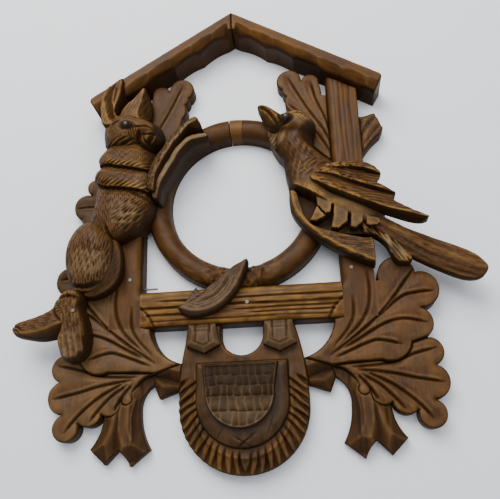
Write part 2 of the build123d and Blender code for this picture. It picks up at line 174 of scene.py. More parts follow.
def noise(x, y, size, seed=0):
    """Smooth random waves about size wide, from -1 to 1: a lattice of values, eased between."""
    table = np.random.default_rng(seed).uniform(-1.0, 1.0, (64, 64))
    u, v = x / size + 1000.0, y / size + 1000.0
    i, j = np.floor(u).astype(int), np.floor(v).astype(int)
    f, g = u - i, v - j
    f, g = f * f * (3 - 2 * f), g * g * (3 - 2 * g)
    low = table[i % 64, j % 64] * (1 - f) + table[(i + 1) % 64, j % 64] * f
    high = table[i % 64, (j + 1) % 64] * (1 - f) + table[(i + 1) % 64, (j + 1) % 64] * f
    return low * (1 - g) + high * g


def ease(value, low, high):
    """0 below low, 1 above high, and a smooth step between."""
    t = unit((value - low) / (high - low))
    return t * t * (3 - 2 * t)


def dome(edge, reach):
    """Quarter round: 0 at the edge, 1 once the edge is reach away."""
    return np.sqrt(1.0 - (1.0 - unit(edge / reach)) ** 2)


def rounded(edge, reach):
    """How far a quarter round lies below its flat: 1 at the edge, 0 once the edge is reach away."""
    return 1.0 - dome(edge, reach)


def plus(value):
    """The value where it is above 0, and 0 elsewhere."""
    return np.clip(value, 0.0, None)


def unit(value):
    """The value kept between 0 and 1."""
    return np.clip(value, 0.0, 1.0)


def bell(value, width):
    """A smooth hump: 1 where the value is 0, and nearly 0 from twice the width."""
    return np.exp(-(value / width) ** 2)


def zigzag(place):
    """A triangle wave: 1 at every whole number and 0 halfway between."""
    return np.abs(2.0 * (place - np.floor(place)) - 1.0)


def to_curve(xy, points):
    """Signed distance from the smooth curve through the points, and share of the way along it."""
    return to_path(xy, curve(points, 1.0))


def cut(xy, points, width, depth, bend=2.0, tail=0.25):
    """Depth of a gouge cut along a curve, deepest on its line and tapering at both ends."""
    away, along = to_curve(xy, points)
    ends = unit(np.minimum(along, 1.0 - along) / tail + 0.25)
    return depth * ends * unit(1.0 - np.abs(away) / width) ** bend


def aim(xy, angle):
    """How far each point lies along, and to the left of, a direction in degrees."""
    turn = math.radians(angle)
    along = xy[:, 0] * math.cos(turn) + xy[:, 1] * math.sin(turn)
    return along, xy[:, 1] * math.cos(turn) - xy[:, 0] * math.sin(turn)


# ---- meshes ----------------------------------------------------------------------------
def relax(values, pairs, rounds):
    """Average each point's value with its neighbours', a number of times over."""
    many = np.bincount(pairs.ravel(), minlength=len(values))
    for _ in range(rounds):
        total = np.bincount(pairs[:, 0], values[pairs[:, 1]], len(values))
        total += np.bincount(pairs[:, 1], values[pairs[:, 0]], len(values))
        values = 0.5 * values + 0.5 * total / np.maximum(many, 1)
    return values


def put_mesh(name, points, faces, marks, sharp=40.0):
    """A mesh object from arrays in millimetres, with its gold, dark and pale marks stored at the points:
    gold is wear and painted highlight, dark is stain and painted shade.
    """
    mesh = bpy.data.meshes.new(name)
    mesh.vertices.add(len(points))
    mesh.vertices.foreach_set("co", (np.asarray(points, float) * MM).ravel())
    size = faces.shape[1]
    mesh.loops.add(faces.size)
    mesh.loops.foreach_set("vertex_index", faces.ravel().astype(np.int32))
    mesh.polygons.add(len(faces))
    mesh.polygons.foreach_set("loop_start", np.arange(0, faces.size, size, dtype=np.int32))
    mesh.update(calc_edges=True)
    mesh.validate()
    mesh.shade_smooth()
    mesh.set_sharp_from_angle(angle=math.radians(sharp))
    for label, values in marks.items():
        layer = mesh.attributes.new(label, "FLOAT", "POINT")
        layer.data.foreach_set("value", np.asarray(values, np.float32))
    piece = bpy.data.objects.new(name, mesh)
    bpy.context.collection.objects.link(piece)
    return piece


def plan_mesh(outline, step):
    """Triangles over the plan of an outline: the outline's points and an even grid inside."""
    ring = resample(outline, step)
    low, high = ring.min(0), ring.max(0)
    across = np.arange(low[0], high[0] + step, step)
    rows = np.arange(low[1], high[1] + step, step * math.sqrt(0.75))
    grid_x, grid_y = np.meshgrid(across, rows)
    grid_x = grid_x + step / 2 * (np.arange(len(rows)) % 2)[:, None]
    grid = np.column_stack([grid_x.ravel(), grid_y.ravel()])
    grid = grid[inside(grid, ring)]
    away, _ = to_path(grid, ring, closed=True)
    grid = grid[np.abs(away) > 0.45 * step]
    every = np.vstack([ring, grid])
    sides = [(i, (i + 1) % len(ring)) for i in range(len(ring))]
    found = delaunay_2d_cdt(every.tolist(), sides, [], 1, 1e-6)
    xy = np.array([tuple(p) for p in found[0]])
    faces = np.array(found[2])
    a, b, c = xy[faces[:, 0]], xy[faces[:, 1]], xy[faces[:, 2]]
    turning = (b[:, 0] - a[:, 0]) * (c[:, 1] - a[:, 1]) - (b[:, 1] - a[:, 1]) * (c[:, 0] - a[:, 0])
    faces = np.where((turning < 0)[:, None], faces[:, ::-1], faces)
    return xy, faces


def relief(name, outline, top, base=0.0, under=None, step=FINE, wear=0.35, shade=0.5,
           rim_wear=0.5, wall_shade=0.75, rows=4, inset=None, sharp=40.0, pale=None, dark=None, rub=None):
    """A carved piece: z = top(xy, edge) over the outline, a wall, and a back at base.

    edge is the distance from the outline. under(xy, edge) gives a shaped back instead of a flat
    one; pale(xy, edge) says where it is paler, from bleached stain and in places painted highlight,
    dark(xy, edge) where it is darker, from thick stain and in places painted shade, and
    rub(xy, edge) where it is rubbed to gold, by hands and in places as painted highlight.
    Points that stand wear millimetres above the mean of their neighbours are rubbed, partly wear
    and partly painted highlight, and points shade millimetres below it are dark, partly stain and
    partly painted shade; steep faces get painted shade too, and so does the wall."""
    xy, faces = plan_mesh(outline, step)
    edge = np.abs(to_path(xy, outline, closed=True)[0])
    sides = np.vstack([faces[:, [0, 1]], faces[:, [1, 2]], faces[:, [2, 0]]])
    pairs = np.unique(np.sort(sides, axis=1), axis=0)
    key = sides[:, 0].astype(np.int64) * len(xy) + sides[:, 1]
    twin = sides[:, 1].astype(np.int64) * len(xy) + sides[:, 0]
    rim = sides[~np.isin(key, twin)]
    height = top(xy, edge)
    low = under(xy, edge) if under else np.full(len(xy), float(base))
    height = np.maximum(height, low + 0.3)
    near = height - relax(height, pairs, 5)
    broad = height - relax(height, pairs, 40)
    grain = 0.6 + 0.4 * noise(*xy.T, 3.0, 5)
    # Raised points and the rim are rubbed to gold: partly wear, partly painted highlight.
    worn = unit(near / (0.5 * wear) + broad / (2.5 * wear)) * grain
    worn = unit(worn + rim_wear * bell(edge, 0.8) * grain)
    # Sunk points are dark: partly stain kept in hollows, partly painted shade.
    hollow = unit(-near / (0.5 * shade) - broad / (2.5 * shade))
    gap = np.linalg.norm(xy[pairs[:, 0]] - xy[pairs[:, 1]], axis=1)
    steepness = np.abs(height[pairs[:, 0]] - height[pairs[:, 1]]) / gap
    steepest = np.zeros(len(xy))
    np.maximum.at(steepest, pairs[:, 0], steepness)
    np.maximum.at(steepest, pairs[:, 1], steepness)
    # Painted shade on steep faces, which also lose most of their gold.
    flank = ease(steepest, 0.9, 2.0)
    hollow = np.maximum(hollow, wall_shade * flank)
    worn = worn * (1.0 - 0.8 * flank)
    if dark:
        hollow = unit(hollow + dark(xy, edge))
    if rub:
        worn = unit(worn + rub(xy, edge) * grain)

    # The wall: rows of points between the top's rim and the back's rim.
    count = len(xy)
    rim_points = np.unique(rim)
    place = np.full(count, -1)
    place[rim_points] = np.arange(len(rim_points))
    shares = np.arange(1, rows) / rows
    ahead = np.zeros((count, 2))
    run = xy[rim[:, 1]] - xy[rim[:, 0]]
    run = run / np.maximum(np.linalg.norm(run, axis=1), 1e-9)[:, None]
    np.add.at(ahead, rim[:, 0], run)
    np.add.at(ahead, rim[:, 1], run)
    ahead = ahead[rim_points] / np.maximum(np.linalg.norm(ahead[rim_points], axis=1), 1e-9)[:, None]
    inward = np.column_stack([-ahead[:, 1], ahead[:, 0]])
    walls = []
    for share in shares:
        z = height[rim_points] * (1 - share) + low[rim_points] * share
        shift = inset(xy[rim_points], share) if inset else np.zeros(len(rim_points))
        walls.append(np.column_stack([xy[rim_points] + inward * shift[:, None], z]))
    points = np.vstack([np.column_stack([xy, height])] + walls + [np.column_stack([xy, low])])
    levels = [np.arange(count)]
    for row in range(len(shares)):
        level = np.full(count, -1)
        level[rim_points] = count + row * len(rim_points) + place[rim_points]
        levels.append(level)
    back = count + len(shares) * len(rim_points)
    levels.append(back + np.arange(count))
    strips = []
    for upper, lower in zip(levels[:-1], levels[1:]):
        a, b = rim[:, 0], rim[:, 1]
        strips.append(np.column_stack([upper[a], lower[a], lower[b]]))
        strips.append(np.column_stack([upper[a], lower[b], upper[b]]))
    faces = np.vstack([faces] + strips + [back + faces[:, ::-1]])
    # The wall: gold from the rim fading downwards, and painted shade that deepens towards the back.
    wall_worn = [worn[rim_points] * 0.5 * (1 - s) for s in shares]
    wall_painted_shade = [np.full(len(rim_points), wall_shade * (0.55 + 0.45 * s)) for s in shares]
    bleached = unit(pale(xy, edge)) if pale else np.zeros(count)
    wall_pale = [bleached[rim_points] * 0.4 * (1 - s) for s in shares]
    marks = {"worn": np.concatenate([worn] + wall_worn + [np.zeros(count)]),
             "hollow": np.concatenate([hollow] + wall_painted_shade + [np.full(count, 0.5)]),
             "pale": np.concatenate([bleached] + wall_pale + [np.zeros(count)])}
    return put_mesh(name, points, faces, marks, sharp)


# ---- materials -------------------------------------------------------------------------
class Value:
    """A shader socket that takes part in sums: each operator adds one Math node."""

    def __init__(self, recipe, socket):
        self.recipe = recipe
        self.socket = socket

    def math(self, operation, *others):
        """A Math node on this value and the others."""
        inputs = dict(enumerate((self,) + others))
        return self.recipe.make("ShaderNodeMath", {"operation": operation}, inputs)

    def __add__(self, other):
        return self.math("ADD", other)

    def __mul__(self, other):
        return self.math("MULTIPLY", other)

    def __sub__(self, other):
        return self.math("SUBTRACT", other)

    def __rsub__(self, other):
        return self.math("MULTIPLY", -1.0).math("ADD", other)

    def held(self):
        """The value kept between 0 and 1."""
        return self.recipe.make("ShaderNodeClamp", {}, {0: self})


class Recipe:
    """One material's nodes. Every node but the shader comes from make."""

    def __init__(self, name):
        self.material = bpy.data.materials.new(name)
        self.material.use_nodes = True
        self.tree = self.material.node_tree
        self.shader = self.tree.nodes["Principled BSDF"]

    def make(self, kind, settings, inputs, out=0):
        """Add a node: its settings first, then its inputs."""
        node = self.tree.nodes.new(kind)
        for key, value in settings.items():
            setattr(node, key, value)
        for key, value in inputs.items():
            self.feed(node.inputs[key], value)
        return Value(self, node.outputs[out])

    def feed(self, socket, value):
        """Link a value to a socket, or set the socket's own value."""
        if isinstance(value, Value):
            self.tree.links.new(value.socket, socket)
        elif isinstance(value, tuple) and len(value) == 3 and len(socket.default_value) == 4:
            socket.default_value = (*value, 1.0)
        else:
            socket.default_value = value

    def mix(self, share, first, second):
        """Blend two colours."""
        settings = {"data_type": "RGBA", "blend_type": "MIX"}
        return self.make("ShaderNodeMix", settings, {0: share, 6: first, 7: second}, out=2)

    def waves(self, where, scale, detail=2.0, rough=0.5, distortion=0.0):
        """A noise texture's value at the place where."""
        inputs = {"Vector": where, "Scale": scale, "Detail": detail, "Roughness": rough,
                  "Distortion": distortion}
        return self.make("ShaderNodeTexNoise", {}, inputs)

    def stretched(self, angle, across, along):
        """Object coordinates turned by angle and counted in millimetres across and along."""
        place = self.make("ShaderNodeTexCoord", {}, {}, out=3)
        turned = self.make("ShaderNodeMapping", {}, {"Vector": place, "Rotation": (0, 0, -angle)})
        scale = (1 / (across * MM), 1 / (along * MM), 1 / (across * MM))
        return self.make("ShaderNodeMapping", {}, {"Vector": turned, "Scale": scale})


def carved_wood(name, light, dark, gold, angle, gilding, gloss):
    """Stained, varnished and handled walnut.

    Grain runs along +Y turned by angle. Raised edges are rubbed to gold, partly wear and partly
    painted highlight; hollows hold old dark varnish, and the same dark mark is painted shade on
    steep faces and walls; bleached tufts are pale, and a few pale marks are painted highlight;
    patches of varnish are duller than the rest."""
    recipe = Recipe(name)
    worn = recipe.make("ShaderNodeAttribute", {"attribute_name": "worn"}, {}, out=2)
    hollow = recipe.make("ShaderNodeAttribute", {"attribute_name": "hollow"}, {}, out=2)
    pale = recipe.make("ShaderNodeAttribute", {"attribute_name": "pale"}, {}, out=2)
    grain = recipe.waves(recipe.stretched(angle, 0.9, 14.0), 1.0, 4.0, 0.6, 0.4)
    pores = recipe.waves(recipe.stretched(angle, 0.22, 2.6), 1.0, 3.0, 0.7)
    cloud = recipe.waves(recipe.stretched(angle, 9.0, 16.0), 1.0, 3.0, 0.55)
    speck = recipe.waves(recipe.stretched(angle, 0.6, 0.9), 1.0, 2.0, 0.6)
    tone = (grain * 1.1 + cloud * 1.9 - 1.0).held()
    stain = recipe.mix(tone, dark, light)
    # Gold where rubbed: wear, and painted highlight.
    rubbed = (worn * gilding * (speck * 1.1 + cloud * 0.9 - 0.1)).held()
    gilt = recipe.mix(rubbed, stain, gold)
    gilt = recipe.mix((pale * (speck * 0.8 + 0.35)).held(), gilt, OAT)
    # The dark mix: stain in the pores and the hollows, and painted shade on steep faces and walls.
    stain_and_shade_colour = tuple(0.5 * c for c in dark)
    stain_and_shade = (hollow * 0.68 + (0.42 - pores).held() * 0.7).held()
    recipe.feed(recipe.shader.inputs["Base Color"], recipe.mix(stain_and_shade, gilt, stain_and_shade_colour))
    rough = (cloud * 0.35 + gloss - 0.16 + hollow * 0.22 + (speck - 0.5) * 0.12).held()
    recipe.feed(recipe.shader.inputs["Roughness"], rough)
    recipe.feed(recipe.shader.inputs["Specular IOR Level"], 0.11)
    relief_height = grain * 0.5 + pores * 0.5 + speck * 0.3
    bump = recipe.make("ShaderNodeBump", {}, {"Strength": 0.4, "Distance": 0.00035,
                                              "Height": relief_height})
    recipe.feed(recipe.shader.inputs["Normal"], bump)
    return recipe.material


ROOF_RISE = 0.609           # how far the roof falls for each millimetre sideways
SLOPE = math.atan(ROOF_RISE)
WALNUT = (0.086, 0.036, 0.009)
AMBER = (0.088, 0.035, 0.006)
UMBER = (0.028, 0.011, 0.003)
BISTRE = (0.017, 0.008, 0.003)
HONEY = (0.22, 0.112, 0.024)
STRAW = (0.17, 0.090, 0.028)
TAUPE = (0.045, 0.025, 0.012)
OAT = (0.20, 0.135, 0.070)

roof_right_wood = carved_wood("roof_right_wood", AMBER, UMBER, HONEY, math.pi / 2 - SLOPE, 0.25, 0.38)
roof_left_wood = carved_wood("roof_left_wood", AMBER, UMBER, HONEY, math.pi / 2 + SLOPE, 0.25, 0.38)
post_wood = carved_wood("post_wood", (0.074, 0.028, 0.004), UMBER, STRAW, 0.0, 0.3, 0.4)
rail_wood = carved_wood("rail_wood", AMBER, UMBER, HONEY, math.pi / 2, 0.7, 0.36)
ring_wood = carved_wood("ring_wood", (0.066, 0.027, 0.005), UMBER, STRAW, math.pi / 2, 0.3, 0.42)
splice_wood = carved_wood("splice_wood", (0.11, 0.048, 0.012), WALNUT, HONEY, 0.3, 0.5, 0.4)
leaf_wood = carved_wood("leaf_wood", WALNUT, UMBER, STRAW, 0.0, 0.45, 0.42)
shaded_leaf_wood = carved_wood("shaded_leaf_wood", (0.058, 0.024, 0.005), UMBER, STRAW, 0.0, 0.45, 0.42)
stem_wood = carved_wood("stem_wood", (0.066, 0.030, 0.010), UMBER, STRAW, 0.0, 0.45, 0.45)
grey_leaf_wood = carved_wood("grey_leaf_wood", TAUPE, UMBER, STRAW, 0.6, 0.35, 0.45)
bag_wood = carved_wood("bag_wood", WALNUT, BISTRE, HONEY, 0.0, 0.5, 0.42)
flap_wood = carved_wood("flap_wood", TAUPE, BISTRE, STRAW, 0.0, 0.6, 0.45)
pouch_wood = carved_wood("pouch_wood", (0.042, 0.021, 0.009), BISTRE, STRAW, 0.0, 0.25, 0.34)
tab_wood = carved_wood("tab_wood", TAUPE, UMBER, STRAW, 0.0, 0.4, 0.42)
hare_wood = carved_wood("hare_wood", (0.062, 0.028, 0.008), UMBER, HONEY, 0.0, 0.75, 0.42)
hare_head_wood = carved_wood("hare_head_wood", (0.066, 0.029, 0.008), UMBER, HONEY, 0.0, 0.7, 0.4)
foreleg_wood = carved_wood("foreleg_wood", (0.046, 0.022, 0.008), UMBER, HONEY, -0.6, 0.55, 0.45)
bird_wood = carved_wood("bird_wood", (0.056, 0.024, 0.006), UMBER, HONEY, 0.9, 0.9, 0.4)
far_wing_wood = carved_wood("far_wing_wood", TAUPE, UMBER, HONEY, 0.9, 0.8, 0.42)
tail_wood = carved_wood("tail_wood", (0.062, 0.024, 0.006), UMBER, HONEY, 1.1, 0.7, 0.42)


def bright_part(name, light, dark, metallic, gloss, clear):
    """Glass or metal: two shades in small clouds, and a finish that is a little uneven."""
    recipe = Recipe(name)
    cloud = recipe.waves(recipe.stretched(0.0, 0.8, 0.8), 1.0, 2.0, 0.5)
    recipe.feed(recipe.shader.inputs["Base Color"], recipe.mix(cloud, dark, light))
    recipe.feed(recipe.shader.inputs["Roughness"], (cloud * 0.2 + gloss).held())
    recipe.feed(recipe.shader.inputs["Metallic"], metallic)
    recipe.feed(recipe.shader.inputs["Coat Weight"], clear)
    return recipe.material


eye_glass = bright_part("eye_glass", (0.014, 0.007, 0.004), (0.004, 0.003, 0.002), 0.0, 0.3, 0.1)
pin_steel = bright_part("pin_steel", (0.16, 0.14, 0.12), (0.07, 0.06, 0.05), 1.0, 0.4, 0.0)
brad_iron = bright_part("brad_iron", (0.20, 0.17, 0.15), (0.08, 0.06, 0.05), 1.0, 0.4, 0.0)


def finish_piece(piece, material, node):
    """Give a piece its wood and its place in the model, where it stands for a CAD node."""
    piece.data.materials.append(material)
    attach(piece, BODY)
    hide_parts(node)


def carve(node, top, material, **options):
    """A piece carved over the outline of its CAD block."""
    finish_piece(relief(node + "_carved", back_outline(node), top, **options), material, node)


def sculpt(node, points, top, material, base=FIGURE_BASE, step=FIGURE_FINE, wall_shade=1.0, **options):
    """A figure's piece over its own smooth outline, in the place of its CAD block."""
    outline = curve(points, 0.8, closed=True)
    piece = relief(node + "_carved", outline, top, base=base, step=step, wall_shade=wall_shade, **options)
    finish_piece(piece, material, node)


# ---- roof, posts and rail --------------------------------------------------------------
def roof_fall(xy):
    """How far a point lies below the roof's upper edge, square to the slope."""
    return (RIDGE - ROOF_RISE * np.abs(xy[:, 0]) - xy[:, 1]) * math.cos(SLOPE)


def roof_top(xy, edge):
    """Flat outer half, and below it a bevel scooped in short strokes that stop at the ridge rib."""
    down = roof_fall(xy)
    along = np.abs(xy[:, 0]) / math.cos(SLOPE)
    stroke = np.abs(np.sin(along / 15.0 * math.pi + 0.4)) ** 0.6
    start = 6.3 - 1.3 * stroke + 0.4 * noise(along, down, 9.0, 3)
    bevel = plus(down - start)
    rib = ease(along, 2.0, 4.5)
    z = ROOF_DEPTH - rib * (0.75 * bevel + 0.05 * bevel ** 2)
    z -= 0.9 * rounded(edge, 0.9)
    z -= 0.12 * (1.0 + noise(along, down * 3.0, 5.0, 8)) * rib * (bevel > 0)
    return z - 0.1 * ease(along, 2.2, 1.2) * (down > 4.0)


def roof_inset(xy, share):
    """Shallow flutes down the underside of a roof board, from the gouge."""
    under = ease(roof_fall(xy), 7.0, 9.0)
    along = np.abs(xy[:, 0]) / math.cos(SLOPE)
    return under * 0.35 * (1.0 + noise(along, along * 0 + share, 4.0, 12)) * math.sin(math.pi * share)


for hand, wood in (("right", roof_right_wood), ("left", roof_left_wood)):
    carve(f"gable_board_{hand}", roof_top, wood, inset=roof_inset, rows=10, wall_shade=0.8)


# Flutes that run from the hole beside the bag, up through each rising leaf and into the post.
FLUTES = [
    [(47.0, -84.0), (54.0, -76.0), (57.6, -69.0), (58.1, -58.8)],
    [(49.9, -83.5), (60.0, -74.0), (65.0, -66.0), (66.8, -57.0), (66.4, -46.0)],
]


def mirrored(points, side):
    """The points on the right, or their mirror image on the left."""
    return [(side * x, y) for x, y in points]


def flute_cuts(xy, side):
    """The two flutes' depth, the same for the post and the leaf that they cross."""
    depth = np.zeros(len(xy))
    for flute in FLUTES:
        depth += cut(xy, mirrored(flute, side), 1.5, 1.3, 1.5)
    return depth


SEAM = 0.3                  # how far the joined faces lie below their blocks' level


def near_post(xy, side):
    """1 at the post's lower end and 0 a few millimetres away from it."""
    x = side * xy[:, 0]
    beside = plus(np.maximum(POST_INNER - x, x - POST_OUTER))
    below = plus(POST_FOOT - xy[:, 1])
    return bell(np.hypot(beside, below), 3.0)


def post_top(side):
    """A post's face: rounded inner edge, flutes at both ends, slight waves of the hand plane."""
    def top(xy, edge):
        inner = side * xy[:, 0] - POST_INNER
        window = ease(xy[:, 1], RAIL_TOP - 4.0, RAIL_TOP + 2.0)
        z = POST_DEPTH - 4.5 * window * rounded(np.clip(inner, 0.0, 5.0) + 0.3, 5.3)
        z -= flute_cuts(xy, side)
        upper = ease(xy[:, 1], 12.0, 24.0)
        for place, width in ((57.0, 0.9), (60.4, 0.7), (62.6, 0.6), (65.6, 0.9)):
            line = side * xy[:, 0] - place - 0.5 * noise(xy[:, 1], xy[:, 1] * 0, 18.0, int(place))
            z -= upper * 0.28 * unit(1.0 - np.abs(line) / width)
        z += 0.18 * noise(xy[:, 0], xy[:, 1] / 5.0, 3.0, 21)
        joined = ease(-xy[:, 1], 44.0, 52.0)
        return z - 0.5 * (1.0 - joined) * rounded(edge, 0.5) - SEAM * joined
    return top


SIDES = ((1, "right"), (-1, "left"))
for side, hand in SIDES:
    carve(f"post_{hand}", post_top(side), post_wood)


# The curling tip of a rising leaf, carved across the end of the rail.
LEAF_TIP = [(45.6, -72.0), (47.0, -67.6), (49.6, -63.4), (54.0, -59.2)]


def rail_top_face(xy, edge):
    """The rail's face: rounded long edges and long gouged grooves, with gaps of plain wood."""
    y = xy[:, 1]
    from_edge = np.minimum(RAIL_TOP - y, y - RAIL_BOTTOM)
    beyond = np.zeros(len(xy))
    z = RAIL_DEPTH - 3.2 * rounded(from_edge + 0.2, 3.4)
    for side in (1, -1):
        away, _ = to_curve(xy, mirrored(LEAF_TIP, side))
        beyond += ease(-side * away, -0.2, 0.6) * (side * xy[:, 0] > 40.0)
        z -= 1.1 * unit(1.0 - np.abs(away - 0.5 * side) / 1.0)
    z -= 0.9 * beyond * ease(np.abs(xy[:, 0]), 47.0, 53.0)
    for place, width, depth, first, last in (
            (-56.4, 0.7, 0.8, -44.0, 60.0), (-59.9, 0.9, 1.1, -60.0, 60.0), (-62.4, 0.6, 0.8, -4.0, 60.0),
            (-64.6, 0.5, 0.7, 4.0, 60.0), (-63.7, 0.8, 0.9, -60.0, -26.0), (-67.0, 0.6, 0.6, -60.0, 60.0)):
        line = y - place - 0.35 * noise(xy[:, 0], y * 0, 22.0, int(-10 * place))
        reach = ease(xy[:, 0], first - 3.0, first + 6.0) * ease(-xy[:, 0], -last - 3.0, -last + 6.0)
        reach = reach * (1.0 - beyond)
        z -= depth * reach * unit(1.0 - np.abs(line) / width) ** 0.8
    z += 0.12 * noise(xy[:, 0] / 8.0, y, 0.9, 31)
    return z


carve("cross_rail", rail_top_face, rail_wood, wear=0.28)


# ---- dial ring -------------------------------------------------------------------------
def carve_ring(node, start, stop, material, lift=0.0):
    """A stretch of the ring: a half-round profile carried round the dial from start to stop.

    The first parameter is the angle, the second runs round the profile: the back, the outer
    wall, the half-round and the inner wall. Both ends are closed by their own fans."""
    width = RING_OUTER - RING_INNER
    turns = int((stop - start) * RING_ARC / 0.7)
    angle = np.linspace(start, stop, turns)
    crown = np.linspace(0.0, math.pi, 26)
    rho = np.concatenate([[RING_INNER, RING_OUTER], RING_INNER + width / 2 * (1 + np.cos(crown))])
    level = np.concatenate([[0.0, 0.0], 5.5 + (RING_DEPTH - 5.6) * np.sin(crown) ** 0.9])
    rho_grid, angle_grid = np.meshgrid(rho, angle)
    level_grid = np.tile(level, (len(angle), 1))
    x = rho_grid * np.cos(angle_grid)
    y = rho_grid * np.sin(angle_grid)
    bark = ease(-y, 33.0, 39.0) * ease(18.0 - np.abs(x + 2.0), 0.0, 5.0)
    raised = level_grid > 1.0
    run = angle_grid * RING_ARC
    wobble = 0.25 * noise(run, rho_grid, 4.0, 41)
    rough = bark * (1.1 * noise(x * 1.6, y, 2.2, 42) - 0.3)
    level_grid = level_grid + raised * (wobble - 0.2 + rough + lift)
    level_grid = np.where(raised, np.clip(level_grid, 0.5, RING_DEPTH + 0.2), level_grid)
    y = np.maximum(y, RAIL_TOP + 0.02)
    points = np.column_stack([x.ravel(), y.ravel(), level_grid.ravel()])
    side = len(rho)
    cell = np.arange(len(angle) - 1)[:, None] * side + np.arange(side)[None, :]
    ahead = np.arange(len(angle) - 1)[:, None] * side + (np.arange(side)[None, :] + 1) % side
    quads = np.stack([cell, cell + side, ahead + side, ahead], axis=-1).reshape(-1, 4)
    triangles = np.vstack([quads[:, [0, 1, 2]], quads[:, [0, 2, 3]]])
    first = np.array([[0, k + 1, k] for k in range(1, side - 1)])
    last = (len(angle) - 1) * side + first[:, [0, 2, 1]]
    triangles = np.vstack([triangles, first, last])
    # Painted highlight along the half-round's crest, and gold knife scores at the lower left.
    crest = bell(rho_grid - 46.0, 2.2) * (level_grid > 8.0)
    worn = unit(0.7 * crest * (0.5 + 0.5 * noise(run, rho_grid, 7.0, 43)))
    scored = ease(-y, 28.0, 36.0) * ease(42.0 - np.abs(x + 4.0), 8.0, 20.0) * (level_grid > 6.0)
    worn = unit(worn + 0.9 * scored * ease(noise(run / 3.0, rho_grid, 1.0, 44), 0.1, 0.6))
    # Painted shade on the lower faces and the walls of the profile, darker in the bark's rough hollows,
    # and a painted shadow on the ring just left of the splice.
    depth = unit((7.5 - level_grid) / 8.0) + bark * unit(-rough)
    depth += 0.6 * bell(angle_grid - 1.85, 0.22) * (0.6 + 0.4 * noise(run, rho_grid, 3.0, 45))
    marks = {"worn": worn.ravel(), "hollow": unit(depth).ravel()}
    finish_piece(put_mesh(node + "_carved", points, triangles, marks, 50.0), material, node)


half_gap = math.asin(box_mm("ring_splice")[1][0] / RING_ARC)
carve_ring("dial_ring", math.pi / 2 + half_gap, 2.5 * math.pi - half_gap, ring_wood)
carve_ring("ring_splice", math.pi / 2 - half_gap + 0.004, math.pi / 2 + half_gap - 0.012, splice_wood, 0.1)


# ---- leaves ----------------------------------------------------------------------------
def leaf_top(depth, veins, droop, side, flutes=False, ribs=0.9, seed=0):
    """A leaf's face: it dips along every vein, falls at its rim and is cut sharply on each vein."""
    def top(xy, edge):
        joined = near_post(xy, side) if flutes else np.zeros(len(xy))
        z = depth - SEAM - droop * (1.0 - joined) * rounded(edge, 3.6)
        nearest = np.full(len(xy), 99.0)
        for vein in veins:
            away, _ = to_curve(xy, mirrored(vein, side))
            nearest = np.minimum(nearest, np.abs(away))
        z -= 0.75 * bell(nearest, 3.4) * (1.0 - joined)
        for vein in veins:
            z -= cut(xy, mirrored(vein, side), 0.7, ribs, 0.8, 0.12)
            away, along = to_curve(xy, mirrored(vein, side))
            ends = ease(along, 0.05, 0.25) * ease(1.0 - along, 0.0, 0.15)
            z += 0.42 * ends * (1.0 - joined) * bell(side * away - 1.5, 0.8)
        if flutes:
            z -= flute_cuts(xy, side)
        z += 0.2 * (1.0 - joined) * noise(*xy.T, 6.0, seed) + 0.05 * noise(*xy.T, 1.8, seed + 1)
        return z - 0.3 * (1.0 - joined) * rounded(edge, 0.5)
    return top


RISING_VEINS = [
    [(45.0, -88.4), (65.5, -73.6), (77.9, -61.3), (90.2, -45.7)],
    [(69.0, -71.0), (82.0, -60.9), (90.2, -58.8), (99.0, -58.2)],
    [(52.0, -85.0), (59.8, -81.0), (72.0, -74.4), (82.0, -72.0), (94.3, -74.4)],
    [(48.0, -89.5), (63.1, -83.5), (69.7, -82.2), (80.3, -84.7)],
]
DROOP_VEINS = [
    [(55.0, -94.5), (70.0, -93.8), (84.0, -90.0), (97.0, -87.0)],
    [(58.0, -96.0), (74.0, -98.5), (86.0, -101.5), (99.0, -104.0)],
    [(62.0, -97.5), (74.0, -104.0), (84.0, -112.0), (92.0, -121.0)],
    [(60.0, -98.5), (68.0, -104.0), (74.0, -110.0), (79.0, -116.0)],
    [(57.5, -98.5), (62.0, -104.0), (66.5, -111.0)],
]
BACK_VEINS = [
    [(-72.0, -2.0), (-82.0, 2.0), (-92.0, 2.0)],
    [(-74.0, -30.0), (-88.0, -38.0), (-99.0, -40.0)],
]
UPPER_VEINS = [
    [(58.0, 22.0), (50.0, 40.0), (41.0, 56.0), (31.5, 76.0)],
    [(56.0, 30.0), (52.0, 46.0), (47.0, 60.0), (44.5, 72.0)],
    [(54.0, 24.0), (44.0, 42.0), (37.0, 52.0), (31.0, 58.0)],
]
LEAF_FADED = {"right": 0.0, "left": 0.16}      # how far the stain of the lower leaves has bleached
for side, hand in SIDES:
    carve(f"leaf_rising_{hand}", leaf_top(LEAF_DEPTH, RISING_VEINS, 1.4, side, True, 1.2, 51), leaf_wood,
          pale=lambda xy, edge: np.full(len(xy), LEAF_FADED[hand]))
    carve(f"leaf_drooping_{hand}", leaf_top(THIN_DEPTH, DROOP_VEINS, 1.8, side, False, 1.2, 61), leaf_wood,
          pale=lambda xy, edge: np.full(len(xy), LEAF_FADED[hand]))
    carve(f"upper_leaf_{hand}",
          leaf_top(THIN_DEPTH, UPPER_VEINS if side > 0 else UPPER_VEINS[:1], 1.2, side, False, 0.9, 71),
          leaf_wood if side > 0 else shaded_leaf_wood)


def twig_top(xy, edge):
    """The cut twig's face: long flat knife facets that run along its axis."""
    along, across = aim(xy, 50.0)
    place = across / 5.2 + 0.08 * noise(along, across, 9.0, 89)
    facet = zigzag(place)
    z = THIN_DEPTH - 2.5 * rounded(edge, 4.0) - 0.9 * facet ** 1.5
    z += 0.2 * noise(along / 6.0, across, 1.4, 89)
    return z + 0.1 * noise(*xy.T, 1.2, 90) - 0.2


